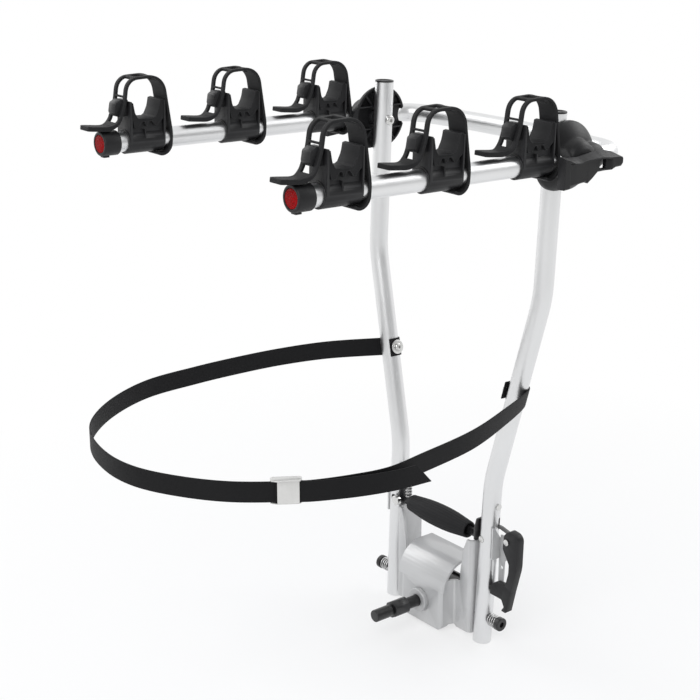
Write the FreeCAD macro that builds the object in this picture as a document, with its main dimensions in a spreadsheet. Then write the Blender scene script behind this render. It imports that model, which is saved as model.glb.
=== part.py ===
import FreeCAD, Part
import math
import os
import re
import Sketcher

V = FreeCAD.Vector

# Driving dimensions in millimetres and degrees. The frame's origin is the centre of the tow ball,
# which lies midway between the two tilt pins. +Z is up, the arms reach towards -Y, and the latch
# lever is on the +X side.
SIZES = {
    # Clearances
    "fit_gap": 0.2,
    "run_gap": 0.06,
    "skin_gap": 0.3,
    # Tube of the uprights and of the arms
    "tube_od": 28.0,
    "tube_wall": 2.0,
    # Uprights, measured up the leaning frame from the tilt pins
    "lean": 2.43,
    "foot_low": 40.5,
    "foot_half": 101.0,
    "neck_run": 220.0,
    "neck_half": 104.3,
    "shoulder_run": 515.0,
    "top_flare": 1.5,
    "shoulder_half": "=top_half - top_flare",
    "top_run": 771.5,
    "top_half": "=elbow_face - elbow_gap - tube_od / 2",
    "bend_radius": 175.0,
    "foot_round": 3.0,
    "plug_rim": 2.6,
    "plug_depth": 14.0,
    "plug_dish": 1.4,
    # Pressed base plate
    "plate": 4.0,
    "flange_half": 86.0,
    "flange_back": 35.0,
    "fold_round": 8.0,
    "ear_front": 14.0,
    "ear_top": 120.0,
    "ear_low": 33.0,
    "ear_tip_half": 75.0,
    "ear_bend": 100.0,
    "ear_bend_half": 67.5,
    "arch_half": 62.5,
    "arch_low": 45.0,
    "arch_round": 5.0,
    "step_half": 52.0,
    "front_half": 46.0,
    "front_reach": 38.0,
    "front_low": 37.0,
    "front_round": 6.5,
    "hood_radius": 45.0,
    "hood_low": 28.4,
    "hood_half": 51.5,
    "hood_back": 30.0,
    # Ball clamp
    "ball_radius": 25.0,
    "housing_half": 34.0,
    "housing_wall": 4.0,
    "housing_back": 38.0,
    "housing_low": 24.0,
    "housing_top": 23.0,
    "jaw_half": 29.4,
    "jaw_low": 12.0,
    "jaw_top": 20.0,
    "jaw_face": 8.0,
    "jaw_front": 27.0,
    "jaw_bolt_radius": 4.0,
    "jaw_bolt_back": 29.0,
    "jaw_bolt_high": 12.0,
    "jaw_bolt_flats": 13.0,
    "jaw_bolt_head": 5.5,
    "screw_radius": 9.0,
    "bush_neck": 13.5,
    "bush_radius": 18.5,
    "bush_proud": 8.0,
    "bush_round": 1.5,
    "collar_start": 70.0,
    "collar_end": 97.0,
    "collar_flats": 24.0,
    "collar_round": 14.0,
    "screw_neck": 7.0,
    "screw_neck_end": 100.0,
    "screw_end": 131.0,
    "screw_tail_radius": 9.5,
    # Tilt pins and their springs
    "pin_radius": 5.0,
    "pin_inner": 80.0,
    "pin_flange_radius": 6.5,
    "pin_head_start": 133.0,
    "pin_head_end": 141.0,
    "pin_head_radius": 10.5,
    "pin_socket_flats": 8.0,
    "pin_socket_deep": 4.0,
    "pin_spring_radius": 9.0,
    "pin_spring_wire": 2.0,
    # Guide brackets, guide bolts and guide pins on the uprights
    "bracket_plate": 2.5,
    "bracket_face": 117.7,
    "bracket_fold": 15.0,
    "bracket_front": 4.0,
    "bracket_top": 151.0,
    "bracket_mid": 100.0,
    "bracket_low": 42.0,
    "bracket_reach": 158.0,
    "guide_bolt_run": 128.0,
    "guide_bolt_half": 100.5,
    "guide_bolt_flats": 17.0,
    "guide_bolt_head": 6.4,
    "guide_bolt_radius": 5.0,
    "guide_pin_run": 182.0,
    "guide_pin_radius": 4.0,
    "guide_pin_head": 5.0,
    "guide_pin_proud": 1.6,
    # Release bar, grip, link and return spring
    "bar_level": 129.0,
    "bar_tall": 12.0,
    "bar_thick": 4.0,
    "bar_half": 87.6,
    "end_plate": 3.0,
    "end_plate_low": 121.6,
    "end_plate_top": 156.0,
    "end_plate_front": 9.0,
    "end_plate_back": 16.0,
    "grip_half": 65.0,
    "grip_mid_radius": 18.0,
    "grip_end_radius": 12.8,
    "grip_mouth_radius": 10.3,
    "grip_mouth_deep": 15.0,
    "link_wide": 4.6,
    "link_thick": 4.0,
    "link_back": 12.5,
    "link_level": 147.0,
    "slot_low": 145.0,
    "slot_top": 163.5,
    "slot_wide": 6.0,
    "slot_shift": 6.0,
    "spring_half": 74.0,
    "spring_radius": 5.0,
    "spring_wire": 1.5,
    "spring_top": 172.0,
    "seat_plate": 2.5,
    "seat_inner": 66.0,
    "seat_wide": 16.0,
    # Latch lever
    "latch_thick": 12.0,
    "latch_pin_x": 151.0,
    "latch_pin_z": 141.0,
    "latch_pin_radius": 3.0,
    # Arms, measured from the elbow pivots
    "pivot_run": 715.6,
    "rise": 1.4,
    "arm_half": 216.0,
    "arm_reach": 466.0,
    "corner_start": 50.6,
    "corner_radius": 40.0,
    "bow_reach": 103.8,
    "cap_proud": 4.4,
    "cap_long": 35.0,
    "cap_front": "=arm_reach + cap_proud",
    "cap_back": "=cap_front - cap_long",
    "cap_radius": 17.0,
    "cap_nub": 19.5,
    "reflector_radius": 12.0,
    "reflector_sink": 2.6,
    "reflector_thick": 2.2,
    # Elbows
    "elbow_deep": 22.7,
    "elbow_gap": 0.3,
    "elbow_face": "=arm_half - elbow_deep",
    "elbow_radius": 47.5,
    "elbow_shift": 7.0,
    "elbow_rim": 3.0,
    "elbow_floor": 6.5,
    "elbow_hub": 11.0,
    "rib": 2.0,
    "rib_high": 17.0,
    "notch_radius": 19.6,
    "notch_centre": 60.2,
    "dome_deep": 24.0,
    "dome_end": "=arm_half + dome_deep",
    "dome_radius": 44.0,
    "dome_round": 18.0,
    "bolt_radius": 4.0,
    "bolt_head_radius": 7.5,
    "bolt_head": 4.6,
    "bolt_seat": "=top_half - tube_od / 2 - 2 * elbow_gap",
    "bolt_short": 4.0,
    "bolt_end": "=dome_end - bolt_short",
    "bolt_socket": 5.0,
    # Elbow levers
    "lever_off": 1.6,
    "lever_thick": 14.0,
    "lever_hinge_off": 7.5,
    "lever_face": "=dome_end + lever_off",
    "lever_end": "=lever_face + lever_thick",
    "lever_hinge_x": "=dome_end + lever_hinge_off",
    "lever_hinge_y": 50.0,
    "lever_pin_radius": 2.0,
    "knuckle_radius": 4.4,
    "knuckle_low": 17.0,
    "knuckle_top": 3.0,
    # Cradles, six alike, each turning on its arm
    "cradle_margin": 63.6,
    "cradle_last": 82.4,
    "cradle_first": "=arm_reach - cradle_margin",
    "cradle_pitch": "=(cradle_first - cradle_last) / 2",
    "cradle_width": 34.0,
    "sleeve_radius": 17.0,
    "sleeve_front": 30.0,
    "sleeve_back": 27.0,
    "core_width": 22.0,
    "core_top": 28.0,
    "hook_width": 17.0,
    "strap_width": 32.0,
    "strap_thick": 4.0,
    "tab_width": 19.0,
    "slot_half": 9.2,
    # Safety strap round the back of the bicycles
    "web_width": 27.5,
    "web_thick": 2.0,
    "web_run": 364.3,
    "washer_radius": 11.0,
    "washer_thick": 2.0,
    "strap_screw_radius": 3.0,
    "strap_screw_head": 5.5,
    "strap_screw_proud": 3.4,
    "strap_screw_long": 13.0,
    # Cam buckle of the safety strap
    "buckle_x": 214.8,
    "buckle_y": 448.2,
    "buckle_turn": 56.3,
    "buckle_sheet": 1.2,
    "buckle_front": 13.6,
    "buckle_reach": 22.0,
    "buckle_deep": 11.0,
    "cam_x": 8.0,
    "cam_y": 5.4,
    "cam_pin": 1.5,
    "cam_reach": 11.0,
}

CRADLES_PER_ARM = 3
PIN_SPRING_TURNS = 3.5
RETURN_SPRING_TURNS = 7.0
NODES = []

doc = FreeCAD.newDocument("bike_rack")
sheet = doc.addObject("Spreadsheet::Sheet", "Sizes")
for row, alias in enumerate(SIZES, start=1):
    sheet.set(f"A{row}", alias)
    sheet.setAlias(f"B{row}", alias)
for row, number in enumerate(SIZES.values(), start=1):
    sheet.set(f"B{row}", str(number))
doc.recompute()


# Sizes, frames and naming

def tied(text):
    """The expression with each size named through the sheet."""
    return re.sub(r"[a-z][a-z_0-9]*", lambda m: "Sizes." + m[0] if m[0] in SIZES else m[0], str(text))


def size(text):
    """The value of an expression on the sheet."""
    return float(sheet.evalExpression(tied(text)))


PIVOT_Y = "pivot_run * sin(lean * 1 deg)"
PIVOT_Z = "pivot_run * cos(lean * 1 deg)"


def put(piece, frame="world", x="0", y="0", z="0"):
    """Places a piece at a point of the world, of the leaning uprights or of the rising arms."""
    turn = {"world": "0", "lean": "lean", "arms": "rise"}[frame]
    base = {"world": ("0", "0"), "lean": ("0", "0"), "arms": (PIVOT_Y, PIVOT_Z)}[frame]
    piece.Placement = FreeCAD.Placement(V(), FreeCAD.Rotation(V(-1, 0, 0), size(turn)))
    piece.setExpression("Placement.Base.x", tied(x))
    along = f"{base[0]} + ({y}) * cos({turn} * 1 deg) + ({z}) * sin({turn} * 1 deg)"
    up = f"{base[1]} - ({y}) * sin({turn} * 1 deg) + ({z}) * cos({turn} * 1 deg)"
    piece.setExpression("Placement.Base.y", tied(along))
    piece.setExpression("Placement.Base.z", tied(up))
    if turn != "0":
        piece.setExpression("Placement.Rotation.Angle", tied(f"{turn} * 1 deg"))
    return piece


def body(label, frame="world", node=True, **place):
    """A new body, placed in its frame."""
    made = doc.addObject("PartDesign::Body", label)
    made.Label = label
    if node:
        NODES.append(made)
    return put(made, frame, **place)


def group(label, pieces):
    """Several pieces of one kind under one name."""
    made = doc.addObject("Part::Compound", label)
    made.Label = label
    made.Links = pieces
    NODES.append(made)
    return made


def mirrored(label, piece, node=True):
    """The piece for the other side of the rack."""
    made = doc.addObject("Part::Mirroring", label)
    made.Label = label
    made.Source = piece
    made.Normal = V(1, 0, 0)
    if node:
        NODES.append(made)
    return made


# Sketches

def sketch(owner, role, offset="0"):
    """A sketch on one of the body's own planes, moved along the plane's normal."""
    made = owner.newObject("Sketcher::SketchObject", owner.Name + "_sketch")
    plane = next(f for f in owner.Origin.OriginFeatures if f.Role == role + "_Plane")
    made.AttachmentSupport = [(plane, "")]
    made.MapMode = "FlatFace"
    made.setExpression("AttachmentOffset.Base.z", tied(offset))
    return made


def pin_point(sk, geo, pos, x, y):
    """Holds a point of a sketch at x, y."""
    for kind, text in (("DistanceX", x), ("DistanceY", y)):
        index = sk.addConstraint(Sketcher.Constraint(kind, -1, 1, geo, pos, size(text)))
        sk.setExpression(f"Constraints[{index}]", tied(text))


def circle(sk, x, y, radius):
    """A circle held by its centre and radius."""
    centre = V(size(x), size(y), 0)
    geo = sk.addGeometry(Part.Circle(centre, V(0, 0, 1), size(radius)))
    pin_point(sk, geo, 3, x, y)
    index = sk.addConstraint(Sketcher.Constraint("Radius", geo, size(radius)))
    sk.setExpression(f"Constraints[{index}]", tied(radius))
    return geo


def corner_arc(before, here, after, radius):
    """The two tangent points and the arc that round a corner, and whether it turns left."""
    go_in = (here - before).normalize()
    go_out = (after - here).normalize()
    turn = go_in.getAngle(go_out)
    left = go_in.x * go_out.y - go_in.y * go_out.x > 0
    cut = radius * math.tan(turn / 2)
    start = here - go_in * cut
    end = here + go_out * cut
    side = V(-go_in.y, go_in.x, 0) if left else V(go_in.y, -go_in.x, 0)
    centre = start + side * radius
    first, last = (start, end) if left else (end, start)
    angles = [math.atan2(p.y - centre.y, p.x - centre.x) for p in (first, last)]
    if angles[1] < angles[0]:
        angles[1] += 2 * math.pi
    arc = Part.ArcOfCircle(Part.Circle(centre, V(0, 0, 1), radius), angles[0], angles[1])
    return start, end, arc, left


def outline(sk, corners, closed=True):
    """Straight runs through corners (x, y) or rounded corners (x, y, radius), tied to the sheet."""
    points = [V(size(c[0]), size(c[1]), 0) for c in corners]
    count = len(corners)
    rounded = {}
    for i, corner in enumerate(corners):
        if len(corner) == 3:
            rounded[i] = corner_arc(points[i - 1], points[i], points[(i + 1) % count], size(corner[2]))
    runs = []
    for i in range(count if closed else count - 1):
        j = (i + 1) % count
        start = rounded[i][1] if i in rounded else points[i]
        end = rounded[j][0] if j in rounded else points[j]
        runs.append(sk.addGeometry(Part.LineSegment(start, end)))
    for i, corner in enumerate(corners):
        before = runs[i - 1] if closed or i > 0 else None
        after = runs[i] if closed or i < count - 1 else None
        if i in rounded:
            round_corner(sk, corner, rounded[i], points[i], before, after)
        else:
            geo, pos = (after, 1) if after is not None else (before, 2)
            if before is not None and after is not None:
                sk.addConstraint(Sketcher.Constraint("Coincident", before, 2, after, 1))
            pin_point(sk, geo, pos, corner[0], corner[1])


def round_corner(sk, corner, rounding, point, before, after):
    """Joins two runs by a tangent arc whose corner point stays held."""
    start, end, arc, left = rounding
    geo = sk.addGeometry(arc)
    first, last = (1, 2) if left else (2, 1)
    sk.addConstraint(Sketcher.Constraint("Tangent", before, 2, geo, first))
    sk.addConstraint(Sketcher.Constraint("Tangent", geo, last, after, 1))
    tip = sk.addGeometry(Part.Point(point), True)
    sk.addConstraint(Sketcher.Constraint("PointOnObject", tip, 1, before))
    sk.addConstraint(Sketcher.Constraint("PointOnObject", tip, 1, after))
    pin_point(sk, tip, 1, corner[0], corner[1])
    index = sk.addConstraint(Sketcher.Constraint("Radius", geo, size(corner[2])))
    sk.setExpression(f"Constraints[{index}]", tied(corner[2]))


def hexagon(sk, x, y, flats):
    """A regular hexagon with two flats upright, held by its width across flats."""
    half = f"({flats}) / 2"
    tall = f"({flats}) / sqrt(3)"
    corners = [(f"{x} + {half}", f"{y} - {tall} / 2"), (f"{x} + {half}", f"{y} + {tall} / 2"),
               (x, f"{y} + {tall}"), (f"{x} - {half}", f"{y} + {tall} / 2"),
               (f"{x} - {half}", f"{y} - {tall} / 2"), (x, f"{y} - {tall}")]
    outline(sk, corners)


def mirrored_x(corners):
    """The corners and their mirror images in x, in order round the outline."""
    return corners + [(f"-({c[0]})", *c[1:]) for c in reversed(corners)]


# Features

def add(owner, kind, sk, length=None, both=False):
    """A pad or pocket of a sketch. A pocket runs against the sketch's normal."""
    made = owner.newObject("PartDesign::" + kind, f"{owner.Name}_{kind}")
    made.Profile = sk
    if length is None:
        made.Type = "ThroughAll"
    else:
        made.setExpression("Length", tied(length))
    if both:
        made.SideType = "Symmetric"
    return made


def pad(owner, sk, length, both=False):
    return add(owner, "Pad", sk, length, both)


def pocket(owner, sk, length=None, both=False):
    return add(owner, "Pocket", sk, length, both or length is None)


def revolve(owner, sk, axis):
    """A full turn of a sketch about its own horizontal or vertical axis."""
    made = owner.newObject("PartDesign::Revolution", owner.Name + "_turned")
    made.Profile = sk
    made.ReferenceAxis = (sk, [axis])
    made.Angle = 360
    return made


def rounded_edges(owner, radius, wanted):
    """Rounds the edges of the body that a test picks."""
    doc.recompute()
    base = owner.Tip
    names = [f"Edge{i}" for i, edge in enumerate(base.Shape.Edges, start=1) if wanted(edge)]
    made = owner.newObject("PartDesign::Fillet", owner.Name + "_rounded")
    made.Base = (base, names)
    made.setExpression("Radius", tied(radius))
    return made


def swept(owner, path, draw):
    """A section drawn square to the start of a path, swept along it."""
    doc.recompute()
    section = owner.newObject("Sketcher::SketchObject", owner.Name + "_section")
    section.AttachmentSupport = [(path, "Edge1"), (path, "Vertex1")]
    section.MapMode = "NormalToEdge"
    draw(section)
    made = owner.newObject("PartDesign::AdditivePipe", owner.Name + "_swept")
    made.Profile = section
    made.Spine = (path, [f"Edge{i + 1}" for i in range(len(path.Shape.Edges))])
    return made


def tube_section(sk):
    circle(sk, "0", "0", "tube_od / 2")
    circle(sk, "0", "0", "tube_od / 2 - tube_wall")


def disc(owner, role, offset, x, y, radius, length):
    """A round pad."""
    sk = sketch(owner, role, offset)
    circle(sk, x, y, radius)
    return pad(owner, sk, length)


def bore(owner, role, holes, offset="0", length=None):
    """Round holes (x, y, radius) cut along a plane's normal."""
    sk = sketch(owner, role, offset)
    for hole in holes:
        circle(sk, *hole)
    return pocket(owner, sk, length)


def block(owner, role, corners, width):
    """An outline given equal width to both sides of its plane."""
    sk = sketch(owner, role)
    outline(sk, corners)
    return pad(owner, sk, width, both=True)


# Springs

def biarc(p0, t0, p1, t1):
    """Two tangent arcs from one point and direction to another."""
    v = p1 - p0
    both = t0 + t1
    a = both.dot(both) - 4
    b = -2 * v.dot(both)
    c = v.dot(v)
    d = (-b - math.sqrt(b * b - 4 * a * c)) / (2 * a)
    q0 = p0 + t0 * d
    q1 = p1 - t1 * d
    middle = (q0 + q1) * 0.5
    return [leg_arc(p0, q0, middle), leg_arc(middle, q1, p1)]


def leg_arc(start, corner, end):
    """The arc tangent to two equal legs that meet at a corner."""
    chord = (start + end) * 0.5
    half = (end - start).Length / 2
    quarter_turn = math.acos(min(1, half / (corner - start).Length)) / 2
    top = chord + (corner - chord).normalize() * (half * math.tan(quarter_turn))
    return Part.Arc(start, top, end).toShape()


def coil(radius, wire, length, turns):
    """A round-wire spring along +Z from the origin, as one tube on arcs, and its least gap to itself."""
    rise = (length - wire) / (2 * math.pi * turns)
    steps = int(round(turns * 4))

    def at(step):
        angle = step * math.pi / 2
        spot = V(radius * math.cos(angle), radius * math.sin(angle), wire / 2 + rise * angle)
        way = V(-radius * math.sin(angle), radius * math.cos(angle), rise).normalize()
        return spot, way

    edges = []
    for step in range(steps):
        edges += biarc(*at(step), *at(step + 1))
    path = Part.Wire(edges)
    start, way = at(0)
    section = Part.Wire([Part.Circle(start, way, wire / 2).toShape()])
    solid = path.makePipeShell([section], True, False)
    return solid, self_gap(path, wire, turns)


def self_gap(path, wire, turns):
    """Least distance between neighbouring turns, surface to surface, measured on points."""
    per_turn = 32
    points = path.discretize(int(per_turn * turns) + 1)
    apart = [(p - q).Length for i, p in enumerate(points) for q in points[i + per_turn // 2:]]
    return min(apart) - wire


def spring(label, length, radius, wire, turns, place):
    """A coil spring as a shape of its own."""
    made = doc.addObject("Part::Feature", label)
    made.Label = label
    made.Shape, gap = coil(size(radius), size(wire), size(length), turns)
    made.Placement = place
    print(f"{label}: least gap between turns {gap:.2f} mm")
    return made


# Base plate and ball clamp

def base_plate():
    """One pressed sheet: flanges at the tilt pins, ears, a stepped front and the hood over the ball."""
    made = body("base_plate")
    slope = "(step_half - front_half) / (front_reach - ear_front)"
    skin = f"plate * sqrt(1 + ({slope})^2)"
    outer = [("flange_half", "flange_back"), ("flange_half", "-ear_front", "fold_round"),
             ("step_half", "-ear_front", "plate"), ("front_half", "-front_reach", "fold_round")]
    inner_near = f"step_half - {skin} + plate * {slope}"
    inner_far = f"front_half - {skin} + plate * {slope}"
    inner = [(inner_far, "plate - front_reach", "fold_round - plate"),
             (inner_near, "plate - ear_front", "fold_round"),
             ("flange_half - plate", "plate - ear_front", "fold_round - plate"),
             ("flange_half - plate", "flange_back")]
    flipped_outer = [(f"-({c[0]})", *c[1:]) for c in reversed(outer)]
    flipped_inner = [(f"-({c[0]})", *c[1:]) for c in reversed(inner)]
    sk = sketch(made, "XY", "-front_low")
    outline(sk, outer + flipped_outer + flipped_inner + inner)
    pad(made, sk, "front_low + ear_top")
    cut_between_ears(made)
    cut_lower_edge(made)
    hood_back_of_front(made)
    hood(made)
    bore(made, "XZ", [("0", "0", "bush_neck + fit_gap")])
    bore(made, "YZ", [("0", "0", "pin_radius + run_gap")])
    return made


def cut_between_ears(made):
    """Takes away the sheet between the ears, above the arched openings beside the hood."""
    over = "ear_top + plate"
    side = [("ear_tip_half", over), ("ear_tip_half", "ear_top"), ("ear_bend_half", "ear_bend"),
            ("arch_half", "hood_low + hood_radius / 1.4"), ("arch_half", "arch_low", "arch_round")]
    sk = sketch(made, "XZ")
    outline(sk, mirrored_x(side))
    pocket(made, sk)


def cut_lower_edge(made):
    """Rounds the front's lower corners and raises the lower edge of the ears."""
    under = "-front_low - plate"
    for sign in ("", "-"):
        side = [("front_half - 2 * front_round", under), ("front_half - 2 * front_round", "-front_low"),
                ("front_half", "-front_low", "front_round"), ("front_half", "-ear_low + plate"),
                ("step_half", "-ear_low + plate"), ("step_half + plate", "-ear_low"),
                ("flange_half + plate", "-ear_low"), ("flange_half + plate", under)]
        sk = sketch(made, "XZ")
        outline(sk, [(f"{sign}({c[0]})", *c[1:]) for c in side])
        pocket(made, sk)


def hood_back_of_front(made):
    """Cuts the step walls back to the hood's curve."""
    front = "-front_reach"
    top = "hood_low + hood_radius"
    corners = [(f"{front} - plate", "hood_low - 1"), (front, "hood_low - 1"),
               (front, top, "hood_radius"), (f"{front} + hood_radius + 1", top),
               (f"{front} + hood_radius + 1", f"{top} + plate"), (f"{front} - plate", f"{top} + plate")]
    sk = sketch(made, "YZ")
    outline(sk, corners)
    pocket(made, sk, "2 * (step_half + 1)", both=True)


def hood(made):
    """The quarter-round hood and its flat top over the ball."""
    front = "-front_reach"
    top = "hood_low + hood_radius"
    corners = [(front, "hood_low - 1"), (front, top, "hood_radius"), ("hood_back", top),
               ("hood_back", f"{top} - plate"),
               (f"{front} + plate", f"{top} - plate", "hood_radius - plate"),
               (f"{front} + plate", "hood_low - 1")]
    block(made, "YZ", corners, "2 * hood_half")


def clamp_housing():
    """Cheeks and rear wall that carry the fixed jaw behind the front plate."""
    made = body("clamp_housing")
    front = "plate - front_reach"
    side = [("housing_half", "housing_back"), ("housing_half", front),
            ("housing_half - housing_wall", front),
            ("housing_half - housing_wall", "housing_back - housing_wall")]
    sk = sketch(made, "XY", "-housing_low")
    flipped = [(f"-({c[0]})", c[1]) for c in reversed(side)]
    outline(sk, side + flipped)
    pad(made, sk, "housing_low + housing_top")
    bolts = [("jaw_bolt_back", f"{sign}jaw_bolt_high", "jaw_bolt_radius + run_gap") for sign in ("", "-")]
    bore(made, "YZ", [(y, z.replace("-jaw_bolt_high", "-jaw_bolt_high + jaw_bolt_radius"), r)
                      for y, z, r in bolts])
    return made


def jaw(label, front, back):
    """A block with its half of the ball's pocket."""
    made = body(label)
    corners = [("jaw_half", front), ("jaw_half", back), ("-jaw_half", back), ("-jaw_half", front)]
    sk = sketch(made, "XY", "-jaw_low")
    outline(sk, corners)
    pad(made, sk, "jaw_low + jaw_top")
    ball = made.newObject("PartDesign::SubtractiveSphere", label + "_pocket")
    ball.setExpression("Radius", tied("ball_radius + fit_gap"))
    return made


def rear_jaw():
    made = jaw("rear_jaw", "jaw_face", "housing_back - housing_wall")
    bore(made, "YZ", [("jaw_bolt_back", "jaw_bolt_high", "jaw_bolt_radius + run_gap"),
                      ("jaw_bolt_back", "-jaw_bolt_high + jaw_bolt_radius", "jaw_bolt_radius + run_gap")])
    return made


def jaw_bolts():
    """Two hexagon bolts across the housing that hold the fixed jaw."""
    bolts = []
    for name, level in (("high", "jaw_bolt_high"), ("low", "-jaw_bolt_high + jaw_bolt_radius")):
        made = body(f"jaw_bolt_{name}", node=False, y="jaw_bolt_back", z=level)
        reach = "housing_half + jaw_bolt_head"
        disc(made, "YZ", f"-({reach})", "0", "0", "jaw_bolt_radius", f"2 * ({reach})")
        for offset in ("housing_half", f"-({reach})"):
            sk = sketch(made, "YZ", offset)
            hexagon(sk, "0", "0", "jaw_bolt_flats")
            pad(made, sk, "jaw_bolt_head")
        bolts.append(made)
    return group("jaw_bolts", bolts)


def screw_bush():
    """Flanged bush in the front plate that guides the clamp screw."""
    made = body("screw_bush")
    disc(made, "XZ", "front_reach - plate", "0", "0", "bush_neck", "plate + bush_proud")
    disc(made, "XZ", "front_reach", "0", "0", "bush_radius", "bush_proud")
    front = -size("front_reach + bush_proud")
    rounded_edges(made, "bush_round", lambda e: e.CenterOfMass.y < front + 0.01 and e.Length > 60)
    bore(made, "XZ", [("0", "0", "screw_radius + run_gap")])
    return made


def clamp_screw():
    """Black screw with a hexagon collar and a plain tail."""
    made = body("clamp_screw")
    start = "jaw_front + skin_gap"
    disc(made, "XZ", start, "0", "0", "screw_radius", f"collar_start - ({start})")
    sk = sketch(made, "XZ", "collar_start")
    hexagon(sk, "0", "0", "collar_flats")
    pad(made, sk, "collar_end - collar_start")
    ring = sketch(made, "XZ", "collar_end")
    circle(ring, "0", "0", "collar_flats")
    circle(ring, "0", "0", "collar_round - plate / 4")
    pocket(made, ring, "collar_end - collar_start")
    disc(made, "XZ", "collar_end", "0", "0", "screw_neck", "screw_neck_end - collar_end")
    disc(made, "XZ", "screw_neck_end", "0", "0", "screw_tail_radius", "screw_end - screw_neck_end")
    tail = -size("screw_neck_end")
    rounded_edges(made, "bush_round", lambda e: e.CenterOfMass.y < tail + 0.01 and e.Length > 50)
    return made


def pivot_pins():
    """Headed pins that the uprights tilt on."""
    made = body("pivot_pin_right", node=False)
    disc(made, "YZ", "pin_inner", "0", "0", "pin_radius", "pin_head_start - pin_inner")
    disc(made, "YZ", "pin_inner - plate", "0", "0", "pin_flange_radius",
         "flange_half - pin_inner - fit_gap")
    disc(made, "YZ", "pin_head_start", "0", "0", "pin_head_radius", "pin_head_end - pin_head_start")
    far = size("pin_head_end")
    rounded_edges(made, "bush_round", lambda e: e.CenterOfMass.x > far - 0.01)
    sk = sketch(made, "YZ", "pin_head_end")
    hexagon(sk, "0", "0", "pin_socket_flats")
    pocket(made, sk, "pin_socket_deep")
    return group("pivot_pins", [made, mirrored("pivot_pin_left", made, node=False)])


def pivot_springs():
    """Springs between the uprights and the pins' heads."""
    start = "foot_half + (neck_half - foot_half) * foot_low / (neck_run + foot_low)"
    start = f"{start} + tube_od / 2 + skin_gap"
    length = f"pin_head_start - skin_gap - ({start})"
    place = FreeCAD.Placement(V(size(start), 0, 0), FreeCAD.Rotation(V(0, 1, 0), 90))
    made = spring("pivot_spring_right", length, "pin_spring_radius", "pin_spring_wire",
                  PIN_SPRING_TURNS, place)
    return group("pivot_springs", [made, mirrored("pivot_spring_left", made, node=False)])


# Tilting frame

def upright_x(run):
    """Half distance between the tubes at a height on the lower run."""
    return f"foot_half + (neck_half - foot_half) * (({run}) + foot_low) / (neck_run + foot_low)"


def upright(side, sign):
    """A bent tube with a closed foot, cross holes and, beside the latch, a slot for the link."""
    made = body("upright_" + side, "lean")
    path = sketch(made, "XZ")
    outline(path, [(f"{sign}foot_half", "-foot_low"), (f"{sign}neck_half", "neck_run", "bend_radius"),
                   (f"{sign}shoulder_half", "shoulder_run", "bend_radius"),
                   (f"{sign}top_half", "top_run")], closed=False)
    swept(made, path, tube_section)
    disc(made, "XY", "-foot_low", f"{sign}foot_half", "0", "tube_od / 2 - tube_wall / 2", "tube_wall")
    bore(made, "YZ", [("0", "0", "pin_radius + run_gap"), ("0", "guide_pin_run", "guide_pin_radius + fit_gap"),
                      ("0", "pivot_run", "bolt_radius + run_gap")])
    bore(made, "XZ", [(f"{sign}guide_bolt_half", "guide_bolt_run", "guide_bolt_radius + fit_gap")])
    hole = across(made, "tube_wall / 2 - tube_od / 2", sign)
    circle(hole, "0", "0", "strap_screw_radius + fit_gap")
    pocket(made, hole, "4 * tube_wall", both=True)
    if side == "right":
        sk = sketch(made, "YZ")
        edge = "slot_wide / 2"
        outline(sk, [(f"slot_shift - {edge}", "slot_low", f"{edge} - fit_gap"),
                     (f"slot_shift + {edge}", "slot_low", f"{edge} - fit_gap"),
                     (f"slot_shift + {edge}", "slot_top", f"{edge} - fit_gap"),
                     (f"slot_shift - {edge}", "slot_top", f"{edge} - fit_gap")])
        pocket(made, sk)
    return made


def upright_plugs():
    """Dished plastic plugs in the tops of the uprights."""
    made = body("upright_plug_right", "lean", node=False, x="top_half", z="top_run")
    outer = "tube_od / 2"
    barrel = "tube_od / 2 - tube_wall - fit_gap"
    sk = sketch(made, "XZ")
    outline(sk, [("0", "-plug_depth"), (barrel, "-plug_depth"), (barrel, "skin_gap"), (outer, "skin_gap"),
                 (outer, "plug_rim", "plug_rim / 3"), (f"{outer} - tube_wall", "plug_rim"),
                 (f"{outer} - 2 * tube_wall", "plug_rim - plug_dish"), ("0", "plug_rim - plug_dish")])
    revolve(made, sk, "V_Axis")
    return group("upright_plugs", [made, mirrored("upright_plug_left", made, node=False)])


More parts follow.
